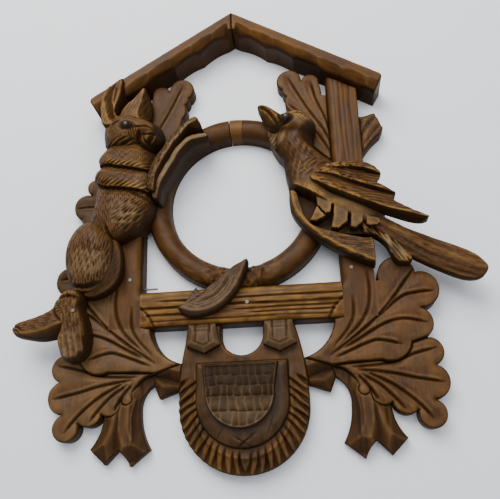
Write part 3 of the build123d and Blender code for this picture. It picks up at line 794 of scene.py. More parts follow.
# Crests of a branch's two prongs: each last point lies past the saw cut, which starts at the one before.
PRONGS = [
    ([(60.6, -103.0), (61.2, -114.0), (61.0, -121.5), (58.9, -128.4), (55.8, -139.0)], 2.3),
    ([(65.6, -105.0), (66.2, -114.0), (67.8, -121.4), (71.0, -128.0), (76.0, -138.0)], 0.5),
]
KNUCKLE_CUTS = [(49.0, -93.0), (46.7, -98.6), (43.7, -105.8), (28.0, -100.2)]


def prong_fall(xy, side):
    """How far a branch lies below its crests, and 1 on the slanting faces that the saw left."""
    fall = np.full(len(xy), 4.6)
    sawn = np.zeros(len(xy))
    for crest, flat in PRONGS:
        line = np.array(mirrored(crest, side))
        away, _ = to_curve(xy, line)
        heading = (line[-1] - line[-2]) / np.linalg.norm(line[-1] - line[-2])
        past = 0.62 * plus((xy - line[-2]) @ heading)
        flank = 0.75 * plus(np.abs(away) - flat)
        lower = np.maximum(flank, past)
        slanting = 0.7 * (past > flank) + 0.45 * ease(flank, 0.6, 1.6) * (past <= flank)
        sawn = np.where(lower < fall, slanting, sawn)
        fall = np.minimum(fall, lower)
    return fall, np.where(fall > 4.5, 0.6, sawn)


def branch_top(side, seed):
    """A forked branch: each prong has a knife-cut crest, sloping flanks and a slanting sawn end."""
    def top(xy, edge):
        fall, sawn = prong_fall(xy, side)
        rib, _ = to_curve(xy, mirrored([(55.4, -106.0), (57.0, -114.0), (56.6, -127.0)], side))
        z = THIN_DEPTH - 0.4 - fall + 0.7 * bell(rib, 0.5) * (sawn < 0.65)
        along, across = aim(xy, 90.0)
        return z + 0.15 * noise(along / 6.0, across, 1.4, seed) - 0.5 * rounded(edge, 0.6)
    return top


def knuckle_edge(xy, side):
    """Distance from a knuckle's sawn lower end."""
    return np.abs(to_path(xy, resample(np.array(mirrored(KNUCKLE_CUTS, side)), 0.6))[0])


def knuckle_top(side, seed):
    """A short stem stub, its lower end cut by two slanting faces that meet in a ridge."""
    def top(xy, edge):
        z = THIN_DEPTH - 0.3 - 0.8 * plus(5.4 - knuckle_edge(xy, side))
        return z + 0.3 * noise(*xy.T, 5.0, seed) - 0.5 * rounded(edge, 0.7)
    return top


for side, hand in SIDES:
    carve(f"branch_{hand}", branch_top(side, 81 + side), stem_wood, sharp=30.0, wall_shade=0.9,
          dark=lambda xy, edge: prong_fall(xy, side)[1])
    carve(f"knuckle_{hand}", knuckle_top(side, 86 + side), stem_wood, sharp=30.0, wall_shade=0.9,
          dark=lambda xy, edge: 0.6 * (knuckle_edge(xy, side) < 5.2))

carve("cut_twig", twig_top, stem_wood)
carve("back_leaf", leaf_top(THIN_DEPTH, BACK_VEINS, 2.5, 1), grey_leaf_wood)


# ---- shapes for the carved figures -----------------------------------------------------
def oval(xy, centre, reach, angle):
    """How far out in an oval each point lies: 0 at the centre and 1 on the rim."""
    turn = math.radians(angle)
    x, y = xy[:, 0] - centre[0], xy[:, 1] - centre[1]
    u = (x * math.cos(turn) + y * math.sin(turn)) / reach[0]
    v = (y * math.cos(turn) - x * math.sin(turn)) / reach[1]
    return np.hypot(u, v)


def mound(xy, centre, reach, angle, crown, foot, power=0.5):
    """An oval swelling: foot + (crown - foot) * (1 - r squared) ** power, with r = 1 at its rim.

    Past the rim it goes on falling, 3 mm for each further unit of r. The angle is in degrees."""
    r = oval(xy, centre, reach, angle)
    swell = unit(1.0 - r * r) ** power
    return foot + (crown - foot) * swell - 3.0 * plus(r - 1.0)


def meld(first, second, soft=2.0):
    """The higher of two surfaces, their crease filled over about soft millimetres."""
    return 0.5 * (first + second + np.sqrt((first - second) ** 2 + soft ** 2)) - 0.2 * soft


def fur(xy, angle, length, width, depth, seed):
    """Combed hair: tapered V cuts side by side, each length long, that start and stop unevenly."""
    along, across = aim(xy, angle)
    place = across / width + 0.45 * noise(along, across, 5.0 * width, seed)
    wave = 1.0 - zigzag(place)
    shift = np.random.default_rng(seed).uniform(0.0, 1.0, 997)[np.floor(place).astype(int) % 997]
    share = along / length + shift
    share = share - np.floor(share)
    ends = unit(np.minimum(share / 0.25, (1.0 - share) / 0.6))
    return -depth * wave * ends


def strokes(xy, angle, pitch, depth, seed):
    """V cuts side by side, running at an angle: a triangle wave across them, of uneven depth."""
    along, across = aim(xy, angle)
    place = across / pitch + 0.35 * noise(along, across, 4.0 * pitch, seed)
    wave = zigzag(place)
    uneven = 0.65 + 0.35 * noise(along * 0.4, across, 1.6 * pitch, seed + 1)
    return -depth * (1.0 - wave) ** 1.3 * uneven


def patch(xy, centre, reach, angle=0.0, soft=0.35):
    """1 inside an oval and 0 outside it, with a soft rim."""
    return 1.0 - ease(oval(xy, centre, reach, angle), 1.0 - soft, 1.0 + soft)


def step_at(xy, line, lift, reach, drop, width):
    """A layer that ends at a line: it swells towards the line and is undercut just below it.

    The line runs so that the layer lies on its left."""
    away, _ = to_curve(xy, line)
    above = lift * np.exp(-plus(away) / reach) * (away > 0)
    below = plus(-away)
    groove = drop * unit(1.0 - below / width) * (away <= 0)
    return above - groove, away


def fall_off(edge, crown, rim, reach):
    """From the rim's height up to the crown in a quarter round, reach wide."""
    return rim + (crown - rim) * dome(edge, reach)


# ---- game bag --------------------------------------------------------------------------
def bag_top(xy, edge):
    """The bag's back board: a fringe of slanting gouges round the rim and a smooth inner field."""
    x, y = xy[:, 0], xy[:, 1]
    centre_y = np.maximum(y, -BAG_SHOULDER)
    from_axis = np.hypot(x, y - centre_y)
    bearing = np.degrees(np.arctan2(y - centre_y, np.abs(x)))
    z = np.full(len(xy), BAG_DEPTH - 0.2)
    fringe = ease(-y, 96.0, 99.0) * ease(from_axis, 20.0, 24.5)
    lean = 38.0 - 0.15 * bearing
    run = np.where(y > -BAG_SHOULDER, -y, BAG_SHOULDER + np.radians(-bearing) * 29.0)
    drift = (from_axis - 24.0) * np.tan(np.radians(np.clip(lean + bearing * 0.42, 3.0, 60.0)))
    place = (run - drift) / 4.6 + 0.2 * noise(x, y, 6.0, 101)
    wave = zigzag(place)
    narrow = 1.35 - 0.75 * ease(from_axis, 24.0, 33.0)
    gouge = unit(2.2 * (1.0 - wave) - narrow) * (0.8 + 0.2 * noise(x, y, 4.0, 102))
    z -= 2.0 * fringe * gouge
    z -= 0.5 * fringe * ease(from_axis, 26.0, 33.0)
    z += 0.8 * bell(from_axis - 24.2, 1.1) * ease(-y, 92.0, 99.0)
    z += 0.15 * noise(x, y, 3.5, 103) - 1.0 * rounded(edge, 1.2)
    return z


def pouch_top(xy, edge):
    """The pouch: smooth and dark, domed up from its rim, with a knife's crossed scores."""
    x, y = xy[:, 0], xy[:, 1]
    z = BAG_DEPTH + 3.6 * dome(edge, 5.0) + 0.12 * noise(x, y, 3.0, 111)
    for line, depth in (([(-5.0, -126.0), (0.0, -129.0), (6.0, -132.5)], 0.55),
                        ([(-4.0, -132.0), (0.0, -129.0), (6.0, -124.5)], 0.5),
                        ([(-2.5, -131.5), (0.5, -128.5), (4.0, -127.0)], 0.3),
                        ([(11.0, -127.0), (13.0, -122.0), (14.5, -117.0)], 0.35),
                        ([(-14.0, -129.0), (-12.0, -125.0), (-10.5, -123.0)], 0.3)):
        z -= cut(xy, line, 0.55, depth, 1.0)
    return z


def flap_top(xy, edge):
    """The flap: rows of upright scoops that deepen downwards, inside a thin raised rim."""
    x, y = xy[:, 0], xy[:, 1]
    z = np.full(len(xy), FLAP_DEPTH - 0.4) + 0.15 * noise(x, y, 3.0, 121)
    field = ease(edge, 0.8, 1.8)
    level = -y + 0.6 * noise(x, x * 0.0, 6.0, 122)
    rows = ((88.0, 92.4, 0.5), (92.4, 97.2, 0.6), (97.2, 102.0, 0.7),
            (102.0, 107.2, 0.9), (107.2, 114.6, 1.2), (114.6, 122.4, 1.2))
    for upper, lower, depth in rows:
        here = (level >= upper) & (level < lower)
        place = x / 4.1 + 0.3 * noise(x, y, 5.0, int(upper)) + 0.37 * upper
        across = place - np.floor(place) - 0.5
        share = unit((level - upper) / (lower - upper))
        bowl = (1.0 - (2.0 * across) ** 2) * (0.3 + 0.7 * share)
        z -= field * here * depth * (bowl + 0.35 * share ** 4)
    z += 0.4 * bell(edge - 0.7, 0.5)
    return z - 0.6 * rounded(edge, 0.5)


def tab_top(hand):
    """A hanging tab: raised middle panel, a lower bevelled border and two upright scores."""
    centre = 0.5 * sum(box_mm(f"bag_tab_{hand}"))[0]

    def top(xy, edge):
        x, y = xy[:, 0], xy[:, 1]
        z = TAB_DEPTH - 2.0 * unit(1.0 - edge / 3.2) ** 0.8
        z -= 0.7 * bell(edge - 3.3, 0.5)
        z -= 0.8 * bell(np.abs(x - centre) - 3.6, 0.55) * ease(y, -80.5, -78.0)
        return z + 0.12 * noise(x, y / 3.0, 2.0, 131) + 0.2 * noise(x, y, 4.0, 132)
    return top


carve("bag_back", bag_top, bag_wood, wear=1.1, shade=1.0, rim_wear=0.2)
carve("bag_pouch", pouch_top, pouch_wood, base=BAG_DEPTH - 0.3, rim_wear=0.1)
carve("bag_flap", flap_top, flap_wood, base=BAG_DEPTH + 2.0, step=0.45, wear=0.8, rim_wear=0.3,
      # painted highlight on the lowest rows of scoops; the upper rows are made darker
      pale=lambda xy, edge: 0.28 * ease(-xy[:, 1], 106.0, 112.0),
      dark=lambda xy, edge: 0.55 * ease(xy[:, 1], -106.0, -99.0))
for hand in ("left", "right"):
    carve(f"bag_tab_{hand}", tab_top(hand), tab_wood, base=BAG_DEPTH,
          pale=lambda xy, edge: np.full(len(xy), 0.12))


# ---- scroll leaf -----------------------------------------------------------------------
def scroll_top(xy, edge):
    """A ribbon of leaf: highest along its lower edge, ribbed along its length, tip bent down."""
    spine = [(-31.0, -61.5), (-24.0, -64.0), (-16.0, -63.5), (-9.0, -60.0), (-3.0, -54.0), (1.0, -47.0),
             (4.4, -38.0)]
    away, along = to_curve(xy, spine)
    z = 20.0 - 0.30 * plus(away) - 1.5 * plus(-away)
    z -= 1.6 * ease(along, 0.7, 1.0) + 0.8 * ease(0.2 - along, 0.0, 0.2)
    place = away / 1.55 + 0.3 * noise(along * 40.0, away, 4.0, 141)
    wave = zigzag(place)
    ribs = (away > 1.0) * ease(0.95 - along, 0.0, 0.3)
    z -= ribs * 0.55 * (1.0 - wave) ** 1.5 * (0.6 + 0.4 * noise(along * 30.0, away, 2.0, 142))
    z -= cut(xy, [(-20.5, -58.5), (-13.5, -56.0), (-8.5, -51.5), (-5.5, -46.5)], 1.0, 1.0, 1.0)
    z -= cut(xy, [(-27.0, -59.5), (-20.0, -55.0), (-17.0, -52.5)], 0.7, 0.6, 1.0)
    return z - 0.5 * rounded(edge, 0.6) + 0.1 * noise(*xy.T, 1.5, 143)


sculpt("scroll_leaf",
       [(4.9, -37.2), (4.6, -41.5), (2.2, -47.8), (-1.2, -54.4), (-6.6, -60.4), (-12.8, -64.4),
        (-20.0, -66.2), (-27.0, -65.8), (-31.6, -62.2), (-29.0, -59.8), (-26.2, -56.0), (-22.9, -50.6),
        (-21.3, -53.4), (-19.0, -53.6), (-16.6, -50.8), (-11.8, -47.6), (-7.0, -43.6), (-2.4, -40.2),
        (0.8, -38.8)],
       scroll_top, grey_leaf_wood, base=12.2, sharp=50.0, step=FINE, wall_shade=0.95,
       pale=lambda xy, edge: 0.2 * ease(-xy[:, 1], 40.0, 56.0))


eye_spots = {animal: 0.5 * sum(box_mm(f"{animal}_eye"))[:2] for animal in ("hare", "bird")}
EYE_HARE, EYE_BIRD = eye_spots["hare"], eye_spots["bird"]
EYE_LEVEL = box_mm("hare_eye")[0][2]


# ---- hare ------------------------------------------------------------------------------
RUFF_UPPER = [(-79.0, 23.6), (-75.0, 20.6), (-71.0, 19.4), (-68.0, 18.9), (-64.0, 17.6), (-59.0, 16.8),
              (-54.0, 15.9), (-49.5, 15.5), (-44.5, 17.4)]
RUFF_LOWER = [(-81.0, 14.6), (-77.0, 11.0), (-73.6, 8.0), (-70.0, 6.2), (-65.0, 5.4), (-60.0, 4.7),
              (-54.0, 4.0), (-48.0, 3.2), (-42.0, 1.0)]

RUFF_TUFTS = (34.0, 2.1, 1.7, 201)          # angle, spacing, depth and seed of the cuts


def eye_socket(xy, z, spot):
    """Bring a face up to its eye, with the lids as a raised almond round the eye."""
    x, y = xy[:, 0] - spot[0], xy[:, 1] - spot[1]
    z = z + (EYE_LEVEL - 0.2 - z) * bell(np.hypot(x, y), 4.5)
    from_eye = np.hypot(x / 1.3, y / 0.8)
    return z + 1.6 * bell(from_eye - 1.85, 0.5) - 0.4 * bell(from_eye - 3.4, 0.6)


def hare_body_top(xy, edge):
    """Chest and belly, two ruffs of tufted fur round the neck and combed fur below them."""
    x, y = xy[:, 0], xy[:, 1]
    form = meld(mound(xy, (-63.0, 16.0), (21.0, 26.0), 0.0, 28.0, 14.0, 0.42),
                mound(xy, (-63.5, -8.0), (21.0, 20.0), 20.0, 27.6, 14.0, 0.42), 2.0)
    rim = 17.0 - 4.5 * ease(x, -62.0, -50.0)
    z = rim + (form - rim) * dome(edge, 7.5)
    upper, from_upper = step_at(xy, RUFF_UPPER, 0.9, 5.0, 1.9, 4.0)
    lower, from_lower = step_at(xy, RUFF_LOWER, 1.1, 6.0, 2.2, 5.0)
    z += upper + lower
    collar = bell(from_upper - 0.8, 1.9) + bell(from_lower - 1.4, 2.6)
    z += unit(collar) * strokes(xy, *RUFF_TUFTS)
    plain = (1.0 - unit(collar)) * ease(edge, 0.5, 2.5)
    below = ease(-from_lower, 0.5, 2.0)
    belly = patch(xy, (-56.5, -11.0), (9.0, 9.0), 40.0) * below
    z += below * (1.0 - belly) * fur(xy, -84.0, 6.0, 1.1, 0.55, 203) * ease(edge, 1.0, 4.0)
    z += belly * (fur(xy, 42.0, 7.0, 1.5, 0.9, 205) + fur(xy, 60.0, 9.0, 3.4, 0.8, 207))
    z += plain * (1.0 - below) * fur(xy, -80.0, 4.0, 1.0, 0.4, 209) - 1.5 * ease(y, 27.0, 33.0)
    z -= cut(xy, [(-69.5, -15.5), (-68.6, -20.0), (-66.0, -24.5)], 1.2, 1.6, 1.0)
    z -= cut(xy, [(-57.0, 3.0), (-52.0, 1.0), (-46.0, -1.6)], 1.6, 1.6, 1.0)
    return z


def hare_body_rub(xy, edge):
    """The tufts that stand up along both ruffs are rubbed to gold."""
    rubbed = np.zeros(len(xy))
    for line in (RUFF_UPPER, RUFF_LOWER):
        away, _ = to_curve(xy, line)
        rubbed += 0.75 * bell(away - 1.6, 2.2) * (away > -0.4)
    return rubbed * ease(strokes(xy, *RUFF_TUFTS), -0.8, -0.2)


def hare_body_pale(xy, edge):
    """Bleached tufts: the middle of the belly and the end of the lower ruff."""
    streaky = 0.5 + 0.5 * noise(*aim(xy, 38.0), 1.6, 208)
    return unit(0.55 * streaky * patch(xy, (-59.0, -11.0), (6.5, 8.0), 40.0)
                + 0.7 * streaky * patch(xy, (-49.5, 9.0), (5.0, 5.0), 40.0))


def hare_under(xy, edge):
    """The back of the hare's chest: on the post, and lower where it spans the gap beside it."""
    return 6.2 + 5.8 * ease(-xy[:, 0], 53.0, 53.8)


sculpt("hare_body",
       [(-66.0, 44.0), (-71.6, 38.0), (-74.9, 30.4), (-77.2, 25.6), (-76.3, 21.6), (-78.3, 17.2),
        (-79.2, 14.0), (-77.4, 11.6), (-77.8, 7.0), (-78.8, -2.0), (-81.0, -11.0), (-80.0, -18.0),
        (-73.0, -23.0), (-63.5, -23.0), (-58.5, -20.8), (-53.5, -18.0), (-49.4, -14.2), (-46.0, -8.2),
        (-44.6, -2.0), (-44.0, 4.0), (-44.6, 12.0), (-44.0, 20.0), (-45.0, 28.0), (-48.0, 34.0),
        (-54.0, 41.0)],
       hare_body_top, hare_wood, under=hare_under, pale=hare_body_pale, wall_shade=0.9,
       wear=0.75, shade=0.8, rim_wear=0.2, rub=hare_body_rub)


def hare_head_top(xy, edge):
    """Skull, cheek and muzzle, with the eye socket, the nose and the whisker cuts."""
    x, y = xy[:, 0], xy[:, 1]
    skull = mound(xy, (-62.0, 41.0), (13.5, 14.0), 0.0, 29.6, 16.0, 0.45)
    bridge = mound(xy, (-53.0, 42.0), (13.0, 7.5), -14.0, 28.8, 15.0, 0.45)
    muzzle = mound(xy, (-47.4, 34.2), (7.4, 8.6), 0.0, 27.4, 13.0, 0.5)
    z = meld(meld(skull, bridge, 1.5), muzzle, 0.6)
    rim = 18.0 - 4.0 * ease(x, -60.0, -48.0) + 6.0 * ease(-y, -36.0, -31.0) * ease(-x, 50.0, 56.0)
    z = rim + (z - rim) * dome(edge, 5.5)
    z = eye_socket(xy, z, EYE_HARE)
    for line, width, depth in (
            ([(-63.0, 44.6), (-65.0, 44.2), (-67.6, 42.6)], 0.9, 1.1),
            ([(-56.0, 40.6), (-52.0, 40.3), (-47.5, 40.6), (-43.6, 38.8)], 0.9, 1.0),
            ([(-51.6, 38.6), (-53.2, 34.6), (-52.4, 30.4), (-49.6, 27.4)], 1.1, 1.8),
            ([(-50.4, 36.4), (-47.4, 36.2), (-43.6, 37.2)], 1.0, 1.8),
            ([(-44.4, 37.0), (-45.4, 34.0), (-47.6, 31.2)], 1.0, 1.8),
            ([(-49.8, 36.0), (-49.6, 33.0), (-47.4, 31.0), (-44.6, 31.4)], 0.9, 1.3),
            ([(-70.5, 31.6), (-65.0, 31.4), (-58.0, 32.4)], 1.2, 1.2)):
        z -= cut(xy, line, width, depth, 1.0)
    whiskers = patch(xy, (-54.6, 35.8), (3.4, 4.8))
    jaw = patch(xy, (-64.0, 32.4), (9.0, 2.6), 4.0)
    cheek = patch(xy, (-66.0, 38.0), (8.0, 7.0)) * (1.0 - jaw) * (1.0 - whiskers)
    z += whiskers * strokes(xy, 104.0, 1.35, 1.3, 221) + jaw * strokes(xy, 24.0, 1.9, 1.5, 223)
    z += cheek * fur(xy, -84.0, 5.0, 1.1, 0.28, 225)
    return z + 0.1 * noise(x, y, 1.6, 227)


sculpt("hare_head",
       [(-73.4, 34.0), (-74.6, 42.0), (-73.6, 49.0), (-67.0, 52.6), (-59.0, 52.6), (-51.6, 50.6),
        (-45.8, 48.6), (-42.4, 45.4), (-40.9, 41.0), (-41.3, 36.4), (-43.4, 32.4), (-46.6, 29.6),
        (-50.6, 28.8), (-55.6, 30.0), (-62.0, 29.6), (-69.0, 29.8)],
       hare_head_top, hare_head_wood, step=0.38, wall_shade=0.9, wear=0.6, shade=0.7,
       dark=lambda xy, edge: 0.45 * patch(xy, (-46.4, 34.0), (6.4, 7.0)))


EAR_BAND = [(-72.8, 69.0), (-73.4, 62.0), (-72.6, 55.0), (-70.8, 49.0), (-67.6, 44.6)]


def near_ear_top(xy, edge):
    """A long scooped ear: high rims, a hollow down the middle and the tip bent down."""
    y = xy[:, 1]
    z = 27.0 - 3.2 * ease(y, 58.0, 76.0) + 1.2 * ease(-y, -52.0, -44.0)
    hollow = [(-68.2, 73.0), (-70.4, 66.0), (-70.2, 58.0), (-68.6, 51.0), (-66.8, 46.0)]
    z -= cut(xy, hollow, 2.3, 2.4, 0.8, 0.15)
    z -= cut(xy, [(-66.4, 71.0), (-66.6, 64.0), (-67.6, 57.0)], 0.8, 0.8, 1.0)
    return z + strokes(xy, 80.0, 1.5, 0.28, 231) - 1.2 * rounded(edge, 1.2)


sculpt("hare_ear_near",
       [(-72.6, 43.6), (-74.6, 50.0), (-75.2, 56.5), (-74.7, 62.5), (-73.2, 68.0), (-70.6, 72.0),
        (-66.6, 74.8), (-63.7, 75.8), (-63.5, 71.0), (-63.7, 65.0), (-64.5, 60.0), (-66.0, 55.0),
        (-66.2, 51.0), (-64.0, 47.6), (-67.0, 43.4)],
       near_ear_top, hare_head_wood, rim_wear=0.9,
       rub=lambda xy, edge: 0.7 * bell(to_curve(xy, EAR_BAND)[0], 1.3))


def far_ear_top(xy, edge):
    """The ear behind: a broad facet, rubbed gold as a painted highlight, and a thick side falling steeply
    to the right, dark with painted shade.
    """
    facet = [(-52.6, 47.5), (-54.6, 52.5), (-52.6, 60.0), (-50.8, 68.4)]
    away, _ = to_curve(xy, facet)
    z = 22.6 - 0.12 * plus(away) - 1.5 * plus(-away)
    return z + strokes(xy, 62.0, 1.9, 0.3, 235) - 0.8 * rounded(edge, 0.9)


sculpt("hare_ear_far",
       [(-65.0, 50.5), (-64.6, 55.4), (-61.4, 59.6), (-57.0, 63.2), (-51.6, 68.9), (-49.6, 66.0),
        (-48.0, 60.0), (-48.6, 53.0), (-52.0, 48.0), (-58.6, 47.6)],
       far_ear_top, hare_head_wood, step=0.45, rim_wear=0.9,
       # painted highlight on the lit facet
       rub=lambda xy, edge: 0.45 * ease(-xy[:, 0], 51.0, 53.0))


def haunch_top(xy, edge):
    """A rounded haunch, combed downwards in long tufts."""
    z = fall_off(edge, 27.0, 15.5, 11.0)
    inner = ease(edge, 0.6, 3.0)
    low = 0.45 + 0.55 * ease(-xy[:, 1], 20.0, 30.0)
    z += inner * low * (fur(xy, -100.0, 8.0, 1.3, 0.75, 241) + fur(xy, -94.0, 4.5, 0.9, 0.35, 243))
    z -= cut(xy, [(-93.0, -44.0), (-87.0, -47.6), (-79.0, -49.0), (-72.0, -46.5)], 1.5, 1.6, 1.0)
    return z


sculpt("hare_haunch",
       [(-80.6, -10.6), (-87.4, -14.0), (-92.2, -22.0), (-93.4, -31.0), (-92.0, -40.0), (-89.6, -46.0),
        (-86.0, -50.6), (-79.0, -51.8), (-71.6, -48.4), (-66.8, -41.0), (-65.0, -31.0), (-66.6, -21.0),
        (-72.6, -13.0)],
       haunch_top, hare_wood, wall_shade=0.9, wear=0.8, shade=0.9, rim_wear=0.2,
       pale=lambda xy, edge: 0.3 * patch(xy, (-79.0, -37.0), (11.0, 7.5)))


def far_thigh_top(xy, edge):
    """The far thigh: a narrow band that tilts outwards from the haunch to a sharp rim."""
    z = 18.6 + 0.5 * np.clip(edge, 0.0, 6.5)
    return z - 0.8 * rounded(edge, 0.8) + fur(xy, 60.0, 7.0, 1.6, 0.2, 245)


sculpt("hare_far_thigh",
       [(-67.0, -20.0), (-63.4, -26.0), (-61.9, -34.0), (-62.4, -41.0), (-65.0, -46.8), (-70.0, -51.0),
        (-77.0, -53.6), (-82.0, -52.0), (-80.0, -44.0), (-74.0, -30.0)],
       far_thigh_top, hare_wood, step=FINE, rim_wear=0.2, wear=0.8,
       # painted shade over the far thigh, deepest away from its rim
       dark=lambda xy, edge: 0.3 + 0.5 * ease(edge, 1.4, 3.4))


def foot_down_top(xy, edge):
    """The hind foot that hangs: a squared block combed downwards, with cuts between the toes."""
    x, y = xy[:, 0], xy[:, 1]
    z = fall_off(edge, 25.2, 20.0, 2.6) - 0.35 * plus(x + 84.5)
    upper = ease(y, -76.0, -70.0) * ease(edge, 0.5, 2.0)
    z += upper * (fur(xy, -86.0, 8.0, 1.9, 0.7, 251) + fur(xy, -96.0, 4.0, 1.0, 0.3, 253))
    toes = ease(-y, 73.0, 76.0)
    place = (x + 92.0 + 0.12 * (y + 80.0)) / 3.1
    wave = zigzag(place)
    z += toes * (1.2 * wave - 0.9 - 0.22 * (-y - 74.0) * (-y > 74.0))
    return z - cut(xy, [(-94.6, -55.4), (-88.0, -53.6), (-81.0, -55.4)], 1.2, 1.4, 1.0)


sculpt("hare_foot_down",
       [(-93.6, -53.0), (-90.4, -50.0), (-85.0, -49.6), (-81.6, -53.0), (-82.0, -59.0), (-79.4, -66.0),
        (-78.0, -73.0), (-78.4, -80.0), (-81.0, -84.6), (-85.6, -86.6), (-90.6, -85.8), (-92.2, -81.6),
        (-93.4, -76.0), (-91.8, -70.0), (-91.4, -63.0), (-94.6, -57.0)],
       foot_down_top, hare_wood, rows=6, wear=0.9, shade=0.9,
       pale=lambda xy, edge: (0.8 * patch(xy, (-86.6, -80.0), (6.0, 6.5))
                              * (0.6 + 0.4 * noise(*xy.T, 1.4, 254))))


def foot_out_top(xy, edge):
    """The hind foot that points outwards: flat combed upper side and a rounded dark underside."""
    ridge = [(-118.6, -69.0), (-114.0, -71.4), (-108.0, -71.6), (-100.0, -70.2), (-90.0, -66.4)]
    away, _ = to_curve(xy, ridge)
    z = 24.0 - 0.12 * plus(away) - 1.1 * plus(-away) ** 1.2
    z -= 1.6 * rounded(edge, 1.8) + 1.6 * ease(-xy[:, 0], 112.0, 119.0)
    hair = ease(away, 0.5, 1.5)
    z += hair * (fur(xy, 190.0, 6.0, 1.3, 0.45, 255) + 0.12 * noise(*xy.T, 1.5, 257))
    z -= cut(xy, [(-118.0, -67.4), (-114.6, -68.2), (-112.0, -70.4)], 0.9, 1.0, 1.0)
    z -= cut(xy, [(-96.6, -57.6), (-94.6, -63.0), (-91.0, -67.0)], 1.0, 1.0, 1.0)
    return z - cut(xy, [(-118.4, -69.8), (-115.0, -70.0), (-112.6, -72.6)], 0.8, 0.8, 1.0)


def rounded_under(rise, reach):
    """A free end's back: flat in the middle and rounded up towards its rim."""
    def under(xy, edge):
        return FIGURE_BASE + rise * rounded(edge, reach)
    return under


sculpt("hare_foot_out",
       [(-92.0, -54.6), (-95.4, -54.6), (-97.4, -59.0), (-101.6, -61.4), (-106.4, -63.2), (-111.6, -64.6),
        (-116.4, -66.0), (-118.3, -69.2), (-116.4, -72.4), (-111.6, -73.8), (-105.0, -75.0),
        (-98.6, -74.8), (-92.0, -72.4), (-89.6, -64.0)],
       foot_out_top, hare_wood, under=rounded_under(3.0, 4.0), wear=0.9, rim_wear=0.2)


def foreleg_top(crest, height, flat, slope, seed, rough):
    """A foreleg: rounded on its upper side, rough with short cuts, its right flank steep."""
    def top(xy, edge):
        away, along = to_curve(xy, crest)
        z = height - 0.10 * plus(away) ** 2 - slope * plus(-away - flat)
        z += 0.7 * noise(along * 50.0, away, 5.0, seed + 3) * ease(along, 0.2, 0.5)
        hair = fur(xy, 50.0, 6.0, 1.4, 0.7, seed) + fur(xy, 62.0, 3.0, 0.9, 0.4, seed + 1)
        z += rough * hair * ease(away, -1.0, 0.5)
        return z - 1.0 * rounded(edge, 1.4) - 2.0 * ease(along, 0.84, 1.0)
    return top


def crest_highlight(crest, width, seed):
    """A painted highlight along a foreleg's crest, broken here and there."""
    def pale(xy, edge):
        away, along = to_curve(xy, crest)
        streak = bell(away - width, width) * ease(along, 0.1, 0.3)
        return 0.75 * streak * ease(noise(along * 50.0, away, 6.0, seed), -1.0, 0.0)
    return pale


FORELEG_UPPER_CREST = [(-44.4, 2.0), (-43.4, 12.0), (-40.0, 19.6), (-35.6, 27.0), (-30.6, 34.0),
                       (-25.4, 40.4), (-21.2, 44.6)]
sculpt("hare_foreleg_upper",
       [(-48.0, 5.0), (-47.4, 14.0), (-44.2, 22.2), (-39.6, 28.4), (-35.8, 34.6), (-31.0, 39.8),
        (-26.6, 44.2), (-23.4, 47.0), (-20.8, 46.8), (-18.6, 42.6), (-23.4, 39.6), (-28.4, 34.0),
        (-33.4, 26.6), (-38.2, 18.4), (-41.6, 10.0), (-42.8, 2.0)],
       foreleg_top(FORELEG_UPPER_CREST, 26.0, 0.6, 2.2, 261, 1.0), foreleg_wood, base=9.0,
       wear=0.9, shade=0.9, rim_wear=0.3, pale=crest_highlight(FORELEG_UPPER_CREST, 0.6, 262),
       # painted highlight on the upper paw's flat-cut tip
       rub=lambda xy, edge: 0.9 * patch(xy, (-22.4, 43.6), (3.4, 3.4)))

FORELEG_LOWER_CREST = [(-42.6, -1.0), (-40.8, 7.0), (-37.8, 13.0), (-33.8, 20.0), (-29.8, 26.8),
                       (-25.2, 31.0), (-20.4, 33.4), (-15.6, 35.2)]
sculpt("hare_foreleg_lower",
       [(-45.4, 0.0), (-43.8, 8.0), (-40.8, 14.8), (-36.8, 22.0), (-32.6, 29.0), (-27.6, 33.8),
        (-21.8, 36.6), (-16.4, 37.4), (-14.6, 35.6), (-15.4, 33.2), (-19.8, 31.2), (-24.4, 28.8),
        (-28.6, 24.8), (-32.6, 18.0), (-36.6, 11.2), (-39.8, 4.8), (-41.6, -2.4)],
       foreleg_top(FORELEG_LOWER_CREST, 24.0, 0.4, 2.0, 265, 0.4), foreleg_wood, base=6.5,
       rows=8, wear=0.9, shade=0.9, pale=crest_highlight(FORELEG_LOWER_CREST, 1.3, 266))


# ---- bird ------------------------------------------------------------------------------
CROWN_CUTS = (-48.0, 1.6, 1.3, 301)         # angle, spacing, depth and seed of the cuts
THROAT_CUTS = (48.0, 1.5, 1.2, 303)
THROAT = ((24.6, 30.6), (4.6, 4.0), 20.0)   # centre, reach and angle of its oval


